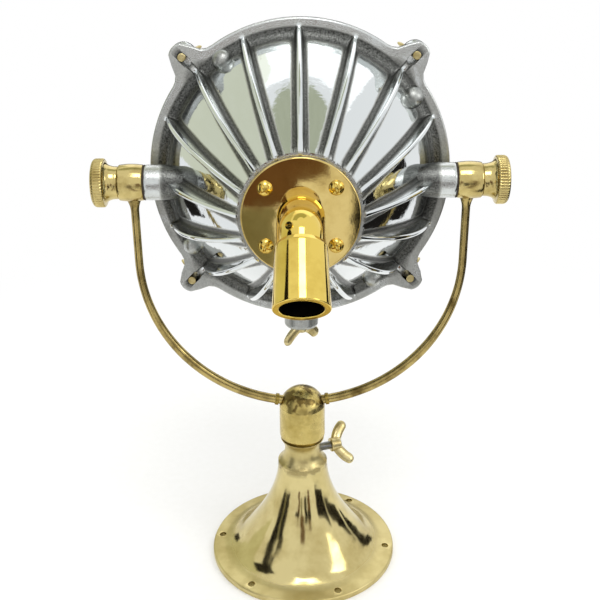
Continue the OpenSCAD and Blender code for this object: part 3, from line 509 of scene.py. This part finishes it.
# A rib's crest is one arc between the seat and the rim, and its height is measured square to the cone
crest_from, crest_to, crest_rise = np.array([seat_r + 1.0, seat_z]), np.array([110.0, rim_back + 0.6]), 10.0
chord = np.linalg.norm(crest_to - crest_from)
crest_r = (chord ** 2 / 4 + crest_rise ** 2) / (2 * crest_rise)
outwards = np.array([crest_from[1] - crest_to[1], crest_to[0] - crest_from[0]]) / chord
crest_at = (crest_from + crest_to) / 2 - (crest_r - crest_rise) * outwards
along = (wall - crest_at) @ square
height = -along + np.sqrt(np.clip(along ** 2 - ((wall - crest_at) ** 2).sum(1) + crest_r ** 2, 0.0, None))
height = np.clip(height, 0.0, None)[:, None]
# Across a rib: a root fillet, a side with a little draft, and a rounded crest
root, half_foot, half_crest = 2.6, 2.3, 1.9
swing = np.linspace(0.0, np.pi / 2, 7)
root_h = np.minimum(root, 0.45 * height)
crest_h = np.minimum(half_crest, 0.5 * height)
offset = np.concatenate([half_foot + root * (1 - np.sin(swing)), half_crest * np.cos(swing)])
raised = np.concatenate([root_h * (1 - np.cos(swing)), height - crest_h * (1 - np.sin(swing))], 1)
offset = np.concatenate([-offset, offset[::-1][1:]])
raised = np.concatenate([raised, raised[:, ::-1][:, 1:]], 1)
# A sector is one rib and the panel after it, and the bowl is sixteen sectors
ribs = 16
pitch = 2 * np.pi / ribs
panel = np.linspace(0.0, 1.0, 10)[1:-1]
r_wall, z_wall = wall[:, :1] + raised * square[0], wall[:, 1:] + raised * square[1]
rib_turn = np.arcsin(offset / r_wall)
edge_turn = rib_turn[:, -1:]
sector_turn = np.concatenate([rib_turn, edge_turn + panel * (pitch - 2 * edge_turn)], 1)
sector_r = np.concatenate([r_wall, np.repeat(wall[:, :1], len(panel), 1)], 1)
sector_z = np.concatenate([z_wall, np.repeat(wall[:, 1:], len(panel), 1)], 1)
sector_rise = np.concatenate([raised, np.zeros((len(wall), len(panel)))], 1)


def all_round(sector):
    """Repeats one sector's columns for every rib and closes the ring with the first column."""
    rows = np.tile(sector, (1, ribs))
    return np.concatenate([rows, rows[:, :1]], 1)


rib_angle = np.pi / 2 + pitch * np.append(np.repeat(np.arange(ribs), sector_turn.shape[1]), ribs)
turn = rib_angle + all_round(sector_turn)
bowl_r, bowl_z = all_round(sector_r), all_round(sector_z)
ear_circle_r, ear_turns = 124.0, (45.0, 135.0, 225.0, 315.0)


def ear_reach(angle, disc_r, ear_r=10.0, blend_r=14.0):
    """Radius of a disc with four ears at an angle. From an ear's middle outwards it is the ear's circle, then a
    fillet that touches both, then the disc: each is where the ray at that angle cuts the circle."""
    off = np.abs(angle % (np.pi / 2) - np.pi / 4)
    reach = disc_r + blend_r
    cx = (reach ** 2 - (ear_r + blend_r) ** 2 + ear_circle_r ** 2) / (2 * ear_circle_r)
    cy = np.sqrt(reach ** 2 - cx ** 2)
    join = np.array([ear_circle_r, 0.0]) + ear_r / (ear_r + blend_r) * np.array([cx - ear_circle_r, cy])
    on_ear = ear_circle_r * np.cos(off) + np.sqrt(np.clip(ear_r ** 2 - (ear_circle_r * np.sin(off)) ** 2, 0.0, None))
    middle = np.cos(off) * cx + np.sin(off) * cy
    on_blend = middle - np.sqrt(np.clip(middle ** 2 - cx ** 2 - cy ** 2 + blend_r ** 2, 0.0, None))
    return np.where(off < np.arctan2(join[1], join[0]), on_ear,
                    np.where(off < np.arctan2(cy, cx), on_blend, disc_r))


# The rim goes on from the bowl's last row: out to the ears' outline, round both edges and back inside the bowl
outline = ear_reach(turn[-1], rim_r)
shell_t, hub_t, stem_r = 5.0, 6.0, 9.0
mouth_r = cone_r + slope * (rim_back - rim_front) - shell_t
inside = [(mouth_r + 1.5, rim_front), (mouth_r, rim_front + 1.5), (seat_r + slope * hub_t - shell_t, seat_z - hub_t),
          (stem_r, seat_z - hub_t), (stem_r, seat_z), (seat_r - 1.2, seat_z)]
swing = np.linspace(0.0, np.pi / 2, 6)[:, None]
edge_in, edge_down = 1.3 * (1 - np.sin(swing)), 1.3 * (1 - np.cos(swing))
share = np.array([[0.35], [0.7]])
rim_rows = [(bowl_r[-1] * (1 - share) + (outline - 2.0) * share, rim_back), (outline[None] - 1.6, rim_back),
            (outline - edge_in, rim_back - edge_down), (outline - edge_in[::-1], rim_front + edge_down[::-1])]
rim_rows += [(np.full((1, len(outline)), r), z) for r, z in inside]
all_r = np.concatenate([bowl_r, *(r for r, z in rim_rows), bowl_r[:1]])
all_z = np.concatenate([bowl_z, *(z + 0 * r for r, z in rim_rows), bowl_z[:1]])
all_turn = np.concatenate([turn, np.repeat(turn[-1:], len(all_r) - len(turn) - 1, 0), turn[:1]])
shell = polar(all_r, all_turn, all_z)
# Buffing reaches the panels and crests: it fades towards the rim and in the corners beside the ribs, where the finish
# also paints the metal dark as painted shade
panel_share = np.clip(np.minimum(sector_turn - edge_turn, pitch - edge_turn - sector_turn) * sector_r / 3.0, 0.0, 1.0)
crest_share = np.clip((sector_rise - 0.55 * height) / (0.3 * height + 0.1), 0.0, 1.0)
reached = np.clip((101.0 - sector_r) / 4.0, 0.0, 1.0)
polish = all_round(np.clip(np.maximum(panel_share * reached, 0.85 * crest_share), 0.02, 1.0))
# On the lower ribs the flanks are made glossier and painted lighter as well, from a tenth of their height up: a painted
# reflection on the lower side
flank_painted_light = np.clip((sector_rise / (height + 0.1) - 0.1) * 4.0, 0.0, 0.8) * np.clip((104.0 - sector_r) / 4.0, 0.0, 1.0)
polish = np.maximum(polish, all_round(flank_painted_light) * np.clip(-1.6 * np.sin(turn) - 0.1, 0.0, 1.0))
# The rim is made glossier and painted lighter along its top, a little along its bottom, and left grainy and painted
# dark at its sides: painted light from above and painted shade at the sides
upper = np.sin(turn[-1:])
rim_polish = 0.27 + 0.2 * np.clip(upper, 0.0, 1.0) + 0.06 * np.clip(-upper, 0.0, 1.0)
polish = np.concatenate([polish, np.repeat(rim_polish, len(all_r) - len(turn), 0)])


def cast_aluminium(name):
    """Sand-cast aluminium: a cool mirror where the buffing attribute says that the wheel reached, a little wavy over
    16 mm. Elsewhere it is satin and painted darker, as painted shade and painted dark reflection, and grains of about 1
    mm speckle and roughen it."""
    finish, tree = new_finish(name)
    buffing_and_painted_light = add(tree, "ShaderNodeAttribute", attribute_name="polish").outputs["Fac"]
    sand, cloud = noise(tree, 1.1, 4.0, 0.65), noise(tree, 16.0, 3.0)
    ragged = calc(tree, "MULTIPLY_ADD", cloud, 0.5, buffing_and_painted_light)
    clean = spread(tree, ragged, 0.45, 0.95, interpolation_type="SMOOTHSTEP")
    # Low buffing paints the satin colour towards near black, #2b2c2a: painted shade and painted dark reflection,
    # speckled by the sand grains
    painted_shade_and_grain = calc(tree, "MULTIPLY_ADD", buffing_and_painted_light, 1.6, -0.35)
    painted_shade_and_grain = calc(tree, "MULTIPLY_ADD", sand, 0.9, painted_shade_and_grain, use_clamp=True)
    tone = blend(tree, clean, blend(tree, painted_shade_and_grain, "#2b2c2a", "#cfd1cc"), "#dadfe0")
    gloss = spread(tree, clean, 0.0, 1.0, 0.36, 0.05)
    grain = bump(tree, sand, spread(tree, clean, 0.0, 1.0, 0.5, 0.02), 0.4)
    wave = bump(tree, cloud, 0.18, 1.2, [("Normal", grain)])
    show(tree, "ShaderNodeBsdfPrincipled", [("Base Color", tone), ("Metallic", 1.0), ("Roughness", gloss),
                                            ("Normal", wave)])
    return finish


aluminium = cast_aluminium("buffed_cast_aluminium")
housing = mesh_object("ribbed_housing", [on_head(shell)], 40.0, polish=polish)
# Slots in the ears let the front come off: a capsule, cut through from the front face to the back
slot_r, slot_in, through = 3.5, 5.0, 3.0
swing = np.linspace(0.0, 2 * np.pi, 49)
slot_line = np.stack([ear_circle_r - slot_in * (np.cos(swing) < -1e-9) + slot_r * np.cos(swing),
                      slot_r * np.sin(swing), 0 * swing], 1)
middle = np.repeat(slot_line.mean(0)[None], len(slot_line), 0)
low, high = np.array([0.0, 0.0, rim_front - through]), np.array([0.0, 0.0, rim_back + through])
cutter = np.stack([middle + low, slot_line + low, slot_line + high, middle + high])
drill(housing, [on_head(cutter @ spun(ear)) for ear in ear_turns])
fitted(housing, "head", "cast_aluminium", aluminium, "rear_housing")

# Bosses and lumps of the same casting: the trunnion bosses at the sides, a rounded boss and the drain boss below,
# and the small risers left beside the ears.
boss_r, boss_end, boss_start, drain_z = 13.2, 115.5, 78.0, -20.0
# A trunnion narrows inwards over a quarter wave, so that it sinks into the bowl between the ribs
reach = np.linspace(boss_start, boss_end - 1.0, 30)
shank_r = boss_r - 4.5 * (1 - np.sin(np.pi / 2 * np.clip((reach - boss_start) / 26.0, 0.0, 1.0)))
trunnion = turned(np.concatenate([[[0.0, boss_start]], np.stack([shank_r, reach], 1),
                                  [[boss_r - 0.3, boss_end - 0.3], [boss_r - 1.0, boss_end], [0.0, boss_end]]]), 96)
low_boss = turned(rounded([(0.0, 60.0, 0), (boss_r, 60.0, 0), (boss_r, boss_end, 3.0), (0.0, boss_end, 0)]), 96)
drain_boss = turned(rounded([(0.0, 80.0, 0), (9.5, 80.0, 0), (8.0, 108.0, 8.0), (8.0, 119.0, 1.0),
                             (0.0, 119.0, 0)]), 64)
down = ((1.0, 0.0, 0.0), (0.0, 0.0, 1.0), (0.0, -1.0, 0.0))
riser_r, riser_turn = 8.0, -11.25
swing = np.linspace(0.0, np.pi, 25)
riser = turned(np.stack([riser_r * np.sin(swing), -riser_r * np.cos(swing)], 1), 40)
bosses = [trunnion @ side_axes["right"], trunnion @ side_axes["left"], place(low_boss, (0.0, 0.0, 0.0), down),
          place(drain_boss, (0.0, 0.0, drain_z), down)]
bosses += [riser + [cone_r, 0.0, rim_back + 2.0] @ spun(ear + riser_turn) for ear in ear_turns]
# The wheel reaches the trunnions' ends and the drain boss. What lies behind the ribs stays satin and is painted dark as
# painted shade, and the low boss and the risers stay satin and are painted darker as well
boss_polish_and_shade = [np.clip((np.abs(p[..., 0]) - 101.0) / 8.0, 0.06, 0.42) for p in bosses[:2]]
boss_polish_and_shade += [np.full(p.shape[:2], share) for p, share in zip(bosses[2:], (0.3, 0.85, 0.3, 0.3, 0.3, 0.3))]
bosses = mesh_object("housing_bosses", [on_head(p) for p in bosses], 40.0,
                     polish=np.concatenate([b.ravel() for b in boss_polish_and_shade]))
fitted(bosses, "head", "cast_aluminium", aluminium)

# Washers and gaskets: fibre rings between the trunnions and the bushes, and rubber under the outlet and the lens.
# All are cut from sheet and pressed flat where they sit.


def cut_sheet(name, dark, light, rough):
    """Cut sheet: matt and dark, with a fine grain of about 0.5 mm that breaks up its shine."""
    finish, tree = new_finish(name)
    grain = noise(tree, 0.5, 3.0)
    show(tree, "ShaderNodeBsdfPrincipled", [("Base Color", blend(tree, grain, dark, light)), ("Roughness", rough),
                                            ("Normal", bump(tree, grain, 0.4, 0.1))])
    return finish


refinish(cut_sheet("gasket_rubber", "#171615", "#2a2826", 0.6), "outlet_gasket", "lens_gasket", "rim_gasket")
refinish(cut_sheet("washer_fibre", "#2c241b", "#4a3b2a", 0.7), "trunnion_washers")

# Outlet flange: a round brass plate on the bowl's seat that carries the cable outlet, screwed down on its gasket.
# It is turned from sheet and then buffed flat until it reflects the room clearly.
plate_brass = brass("mirror_buffed_plate", "#d9c17c", "#c3a860", 22.0, 0.03, 0.08, 1.2, 0.012, 0.06)
flange_front, flange_back, plate_r, plate_bore = 98.3, 101.3, 39.6, 10.6
plate = turned(rounded([(plate_bore, flange_front, 0), (plate_r, flange_front, 0.4), (plate_r, flange_back, 0.9),
                        (plate_bore, flange_back, 0), (plate_bore, flange_front, 0)]), 160)
fitted(mesh_object("outlet_plate", [on_head(plate)]), "head", "polished_brass", plate_brass, "outlet_flange")

# Flange screws: four brass round-head screws that hold the plate and its gasket to the bowl.
# Their heads are cold pressed with a cross, so they are bright, with small tarnished clouds, each at its own turn.
screw_brass = brass("pressed_screw_brass", "#e2c86c", "#b08f3c", 3.0, 0.1, 0.25, 0.6, 0.03)
head_r, head_h, head_sunk, screw_circle_r = 5.1, 3.0, 0.5, 30.2
cross_half, cross_reach, cross_depth = 0.85, 3.6, 1.3
cap_r = (head_r ** 2 + head_h ** 2) / (2 * head_h)
reach = np.linspace(0.0, head_r, 30)[:, None]
swing = np.linspace(0.0, 2 * np.pi, 97)[None, :]
off_arm = np.minimum(np.abs(reach * np.cos(swing)), np.abs(reach * np.sin(swing)))
recess = np.clip((cross_half - off_arm) / 0.25, 0.0, 1.0) * np.clip((cross_reach - reach) / 0.5, 0.0, 1.0)
domed = polar(reach, swing, np.sqrt(cap_r ** 2 - reach ** 2) - cap_r + head_h - cross_depth * recess)
button = np.concatenate([domed, polar(np.array([[head_r], [0.0]]), swing, -head_sunk)])
screws = []
for bearing, turn_deg in ((40.0, 12.0), (140.0, 38.0), (220.0, 64.0), (320.0, 20.0)):
    screws.append(on_head(place(button, [screw_circle_r, 0.0, flange_back] @ spun(bearing), spun(turn_deg))))
fitted(mesh_object("plate_screws", screws, 38.0), "head", "polished_brass", screw_brass, "flange_screws")

# Cable elbow: a cast brass bend, brazed to the plate and buffed to a deep yellow mirror.
# Its neck points back and then turns 48 degrees down, with a fillet at the plate and a slight knuckle in the bend.
mirror_brass = brass("mirror_buffed_brass", "#e8cc68", "#d0b04e", 22.0, 0.05, 0.13, 1.2, 0.012, 0.05)
bend_a, bend_r, elbow_z, tube_r, spout_end = np.radians(48.0), 15.0, 132.3, 13.6, 20.0
lead = bend_r * np.tan(bend_a / 2)
spout_at = np.array([0.0, 0.0, elbow_z])
spout_axes = np.array([(1.0, 0.0, 0.0), (0.0, np.cos(bend_a), np.sin(bend_a)), (0.0, -np.sin(bend_a), np.cos(bend_a))])
s = np.linspace(0.0, 1.0, 26)
neck_z = flange_back - 0.5
neck = np.stack([0 * s, 0 * s, neck_z + (elbow_z - lead - neck_z) * s], 1)
swing = bend_a * s[1:]
curve = np.stack([0 * swing, -bend_r * (1 - np.cos(swing)), elbow_z - lead + bend_r * np.sin(swing)], 1)
spout = spout_at + np.linspace(lead, spout_end, 14)[1:, None] * spout_axes[2]
line = np.concatenate([neck, curve, spout])
root = 1.8 * np.clip(1.0 - (line[:, 2] - flange_back) / 3.0, 0.0, 1.0) ** 2 * (line[:, 1] > -1.0)
knuckle = 0.5 * np.exp(-(np.linalg.norm(line - spout_at, axis=1) / 9.0) ** 2)
tube = swept(line, tube_r + root + knuckle, tube_r + root + knuckle, 96, (1.0, 0.0, 0.0))
fitted(mesh_object("cable_elbow", [on_head(tube)]), "head", "polished_brass", mirror_brass, "elbow_bend")

# Outlet sleeve: a turned brass ferrule that is pressed on the elbow and takes the cable. It widens to its mouth.
# It is buffed with the elbow, and a near-black lining inside its bore is painted shade.
bore_r, sleeve_start, sleeve_seat, mouth_z = 13.9, 9.0, 21.0, 53.0
sleeve_line = rounded([(bore_r, sleeve_seat, 0), (bore_r - 0.2, sleeve_start, 0), (14.4, sleeve_start, 0.5),
                       (16.5, 12.4, 2.2), (18.2, mouth_z, 0.7), (bore_r, mouth_z, 0.5), (bore_r, sleeve_seat, 0)])
sleeve = mesh_object("cable_sleeve", [on_head(place(turned(sleeve_line, 144), spout_at, spout_axes))])
fitted(sleeve, "head", "polished_brass", mirror_brass, "outlet_sleeve")
# Painted shade: a thin near-black sheet just inside the bore, from 24 to 51.2 mm along it
bore_shade_finish = brass("painted_bore_shade", "#1c1712", "#0d0b09", 5.0, 0.6, 0.85, 1.0, 0.05)
film_in, film_out, film_end = bore_r - 0.1, bore_r - 0.02, 51.2
bore_shade_lining = turned([(0.0, 24.0), (film_in, 24.0), (film_in, film_end), (film_out, film_end), (film_out, 23.6),
                 (0.0, 23.6)], 96)
fitted(mesh_object("cable_bore_shade_lining", [on_head(place(bore_shade_lining, spout_at, spout_axes))]), "head", "polished_brass", bore_shade_finish)

# Set screw: a small slotted brass screw in the elbow's left cheek that grips the cable.
# It is turned from bar like the plate's screws, and ends flush with the knuckle.
set_r, set_l, set_lift, slot_half, slot_depth = 2.55, 3.0, 0.6, 0.55, 0.7
reach = np.linspace(0.0, 2.5, 16)[:, None]
swing = np.linspace(0.0, 2 * np.pi, 49)[None, :]
slotted = set_lift - slot_depth * np.clip((slot_half - np.abs(reach * np.sin(swing))) / 0.2, 0.0, 1.0)
set_head = np.concatenate([polar(reach, swing, slotted), polar(np.array([[set_r], [set_r], [0.0]]), swing,
                                                               np.array([[set_lift - 0.1], [-set_l], [-set_l]]))])
set_way = np.array([-0.51, 0.44, 0.74])
set_way /= np.linalg.norm(set_way)
set_across = np.cross([0.0, 1.0, 0.0], set_way)
set_across /= np.linalg.norm(set_across)
set_axes, set_seat = (set_across, np.cross(set_way, set_across), set_way), 14.2
set_screw = mesh_object("elbow_screw", [on_head(place(set_head, spout_at + set_seat * set_way, set_axes))])
fitted(set_screw, "head", "polished_brass", screw_brass, "elbow_set_screw")

# Front bezel: an aluminium ring with four ears that clamps the lens against the bowl, held by the wing nuts.
# It is cast, turned on its face and left satin, with the lens ring sprung in behind it.
bezel_r, bezel_back, ear_front, bezel_front = 110.0, -40.3, -48.3, -55.0
opening_r, rebate_r, lip_back = 96.0, 103.4, -51.0
swing = np.linspace(0.0, 2 * np.pi, 721)
ears, face_r = ear_reach(swing, bezel_r), bezel_r - 0.05
rows = [(rebate_r, bezel_back), (ears - 1.0, bezel_back), (ears, bezel_back - 1.0), (ears, ear_front + 1.0),
        (ears - 1.0, ear_front), (face_r, ear_front), (face_r, ear_front - 0.3), (face_r, bezel_front + 2.5),
        (bezel_r - 0.75, bezel_front + 0.8), (bezel_r - 2.5, bezel_front), (opening_r + 1.2, bezel_front),
        (opening_r, bezel_front + 1.2), (opening_r, lip_back), (rebate_r, lip_back), (rebate_r, bezel_back)]
ring = np.stack([polar(r, swing, z) for r, z in rows])
bezel = mesh_object("front_bezel", [on_head(ring)], 28.0, polish=np.full(ring.shape[:2], 0.5))
fitted(bezel, "head", "cast_aluminium", aluminium, "bezel")
refinish(aluminium, "lens_ring")

# Lens: a disc of toughened clear glass with ground edges, held in the bezel by its gasket and a spring ring.
# The glass is faintly green, clear to look through, and a little dusty in patches of about 14 mm.
glass, tree = new_finish("toughened_clear_glass")
dust = noise(tree, 14.0, 5.0)
show(tree, "ShaderNodeBsdfPrincipled", [
    ("Base Color", blend(tree, dust, "#f4fbf8", "#eef6f3")), ("IOR", 1.52), ("Transmission Weight", 1.0),
    ("Roughness", spread(tree, dust, 0.45, 0.8, 0.0, 0.05))])
lens_r, lens_front, lens_back = 103.0, -49.7, -45.2
disc = turned(rounded([(0.0, lens_front, 0), (lens_r, lens_front, 0.6), (lens_r, lens_back, 0.6), (0.0, lens_back, 0)]))
fitted(mesh_object("lens_disc", [on_head(disc)]), "head", "lens", glass, "lens_glass")

# Reflector: a paraboloid spun from thin aluminium sheet and silvered inside, so that it is a nearly white mirror.
# Its rim lies between the bowl and the bezel. Its depth is vertex - r^2 / (4 x focal).
silver = machined("silvered_sheet", "#eef0f2", "#e2e5e8", 0.02, 0.06)
focal, dish_r, dish_hole, dish_rim, lap_r = 38.0, 98.0, 15.5, -39.0, 106.3
vertex = dish_rim + dish_r ** 2 / (4 * focal)
r = np.linspace(dish_hole, dish_r, 60)
bowl = np.stack([r, vertex - r ** 2 / (4 * focal)], 1)
dish_line = np.concatenate([bowl, [[lap_r, dish_rim], [lap_r + 0.2, dish_rim - 0.6], [lap_r, dish_rim - 1.2]],
                            bowl[::-1] - [0.8, 1.2], bowl[:1]])
fitted(mesh_object("silvered_dish", [on_head(turned(dish_line, 192))], 50.0), "head", "mirror", silver, "reflector")

# Lamp holder and stem: a porcelain holder on a brass tube, which is screwed through the bowl's rear wall.
# The porcelain is cast and fired, and its glaze gives a wet gloss over cream with cloudy spots of about 8 mm.
porcelain, tree = new_finish("glazed_porcelain")
show(tree, "ShaderNodeBsdfPrincipled", [("Base Color", blend(tree, noise(tree, 8.0, 4.0), "#ece8da", "#d8d2be")),
                                        ("Roughness", 0.12), ("IOR", 1.52)])
holder_r, waist_r, socket_r, holder_front, holder_back = 14.0, 12.8, 9.5, 9.2, 35.2
holder_line = rounded([(socket_r, holder_front, 0), (holder_r, holder_front, 1.2), (holder_r, 16.0, 0.6),
                       (waist_r, 17.0, 0.5), (waist_r, 19.0, 0.5), (holder_r, 20.0, 0.6), (holder_r, holder_back, 1.5),
                       (0.0, holder_back, 0)])
holder_line = np.concatenate([[[0.0, 29.0], [socket_r, 29.0]], holder_line])
holder = mesh_object("porcelain_holder", [on_head(turned(holder_line, 96))])
fitted(holder, "head", "porcelain", porcelain, "lamp_holder")
refinish(satin_brass, "lamp_stem")

# Bulb: a clear blown glass globe on a brass screw cap, screwed into the holder so that its filament is at the focus.
# The filament is a coil of tungsten on two steel wires.
focus, bulb_r, bulb_t, neck_r, cap_top, cap_l = vertex - focal, 17.0, 0.8, 9.35, 5.2, 22.0
swing = np.linspace(0.0, np.pi - np.arcsin(neck_r / bulb_r), 40)
half_circle = np.stack([np.sin(swing), -np.cos(swing)], 1)
globe = np.concatenate([bulb_r * half_circle + [0.0, focus], [[neck_r, cap_top], [neck_r - bulb_t, cap_top]],
                        (bulb_r - bulb_t) * half_circle[::-1] + [0.0, focus]])
fitted(mesh_object("bulb_globe", [on_head(turned(globe, 96))]), "head", "bulb_glass", glass, "bulb")
cap = mesh_object("bulb_screw_cap", [on_head(threaded(neck_r, cap_l, 3.6, 0.7, 72) + [0.0, 0.0, cap_top])])
fitted(cap, "head", "inner_brass", satin_brass, "bulb_cap")
coil_half, coil_r, coil_turns = 6.0, 0.8, 20
s = np.linspace(0.0, 1.0, 241)
wind = 2 * np.pi * coil_turns * s
coil = np.stack([coil_half * (2 * s - 1), coil_r * np.cos(wind), focus + coil_r * np.sin(wind)], 1)
wires = [swept(coil, 0.2, 0.2, 8)]
for x in (-coil_half, coil_half):
    leg = [(x, 0.0, focus), (x * 0.8, 0.0, focus + 9.0), (x * 0.5, 0.0, cap_top + 1.0)]
    wires.append(swept(leg, 0.35, 0.35, 10))
fitted(mesh_object("bulb_filament", [on_head(w) for w in wires]), "head", "steel", zinc_steel)

# Ear studs: four brass studs, cut from bar, that sit in the bezel's ears.
# They pass back through the slotted ears of the housing, where their rounded ends show.
stud_r, stud_front, stud_back = 3.2, -60.3, -29.0
pin = turned(rounded([(0.0, stud_front, 0), (stud_r, stud_front, 0.8), (stud_r, stud_back, 0.7),
                      (0.0, stud_back, 0)]), 48)
studs = mesh_object("ear_pins", [on_head(pin + [ear_circle_r, 0.0, 0.0] @ spun(ear)) for ear in ear_turns])
fitted(studs, "head", "wing_brass", tumbled_brass, "ear_studs")

# Wing nuts: four cast brass nuts on the ear studs that hold the front on, tumbled like the other winged heads.
# Each is left at its own turn, and the tips of two show past the upper ears.
nut_seat = -48.6
for number, (ear, turn_deg) in enumerate(zip(ear_turns, (74.0, 113.0, 80.0, 100.0)), 1):
    nut_axes = spun(ear) * [[1.0], [1.0], [-1.0]]
    nut_at = [ear_circle_r, 0.0, nut_seat] @ spun(ear)
    nut = mesh_object("wing_nut_%d_cast" % number, [on_head(place(p, nut_at, nut_axes))
                                                    for p in wings(-turn_deg, 12.5, 13.2, 3.1, 1.6)])
    fitted(nut, "nut_%d" % number, "wing_brass", tumbled_brass, "wing_nut_%d" % number)

# Drain screw: a winged screw under the bowl that lets out condensed water.
# It is made like the clamp screw, a steel screw in a tumbled brass head, and turns in the drain boss.
drain_tip, drain_foot, drain_l = -91.7, -119.3, 33.6
shank = mesh_object("drain_screw_shank", [on_head(place(threaded(screw_r, drain_l), (0.0, drain_tip, drain_z), down))])
fitted(shank, "drain_screw", "steel", zinc_steel, "drain_shank")
drain = mesh_object("drain_screw_wings", [on_head(place(p, (0.0, drain_foot, drain_z), down)) for p in wings(-42.0)])
fitted(drain, "drain_screw", "wing_brass", tumbled_brass, "drain_wing")

# Tilt knobs: brass knobs at the ends of the tilt axis, on steel studs that clamp the trunnions in the bushes.
# They are turned with a waist and a flare, knurled with 48 straight grooves, and buffed.
knob_start, waist_r, knob_r, knob_l, grooves, groove_depth = 135.4, 12.2, 18.2, 19.0, 48, 0.55
swing = np.linspace(0.0, np.pi / 2, 16)
flare = np.stack([waist_r + 4.2 * (1 - np.cos(swing)), 1.6 + 8.2 * np.sin(swing)], 1)
knob_line = rounded([(0.0, 0.0, 0), (waist_r - 0.2, 0.0, 0.6), (waist_r, 1.5, 0), (waist_r, 1.6, 0)])
edge_line = rounded([(*flare[-1], 0), (knob_r, 10.0, 1.6), (knob_r, knob_l, 3.2), (9.0, knob_l, 0),
                     (0.0, knob_l, 0)], 9)
r, z = np.concatenate([knob_line[:-1], flare, edge_line[1:]]).T[..., None]
swing = np.linspace(0.0, 2 * np.pi, grooves * 8 + 1)[None, :]
on_rim = np.clip((r - (knob_r - 1.2)) / 1.2, 0.0, 1.0) * (z > 9.5)
notch = np.abs(((swing * grooves / (2 * np.pi)) % 1.0) * 2 - 1) ** 2
knob_shape = polar(r - groove_depth * on_rim * notch, swing, z)
for name, axes in side_axes.items():
    knob = place(knob_shape, tilt_h * up + knob_start * axes[2], axes)
    knob = mesh_object("tilt_knob_%s_turned" % name, [knob], 50.0)
    fitted(knob, "tilt_knob_" + name, "turned_brass", knob_brass, "knob_" + name)
refinish(zinc_steel, "stud_left", "stud_right")
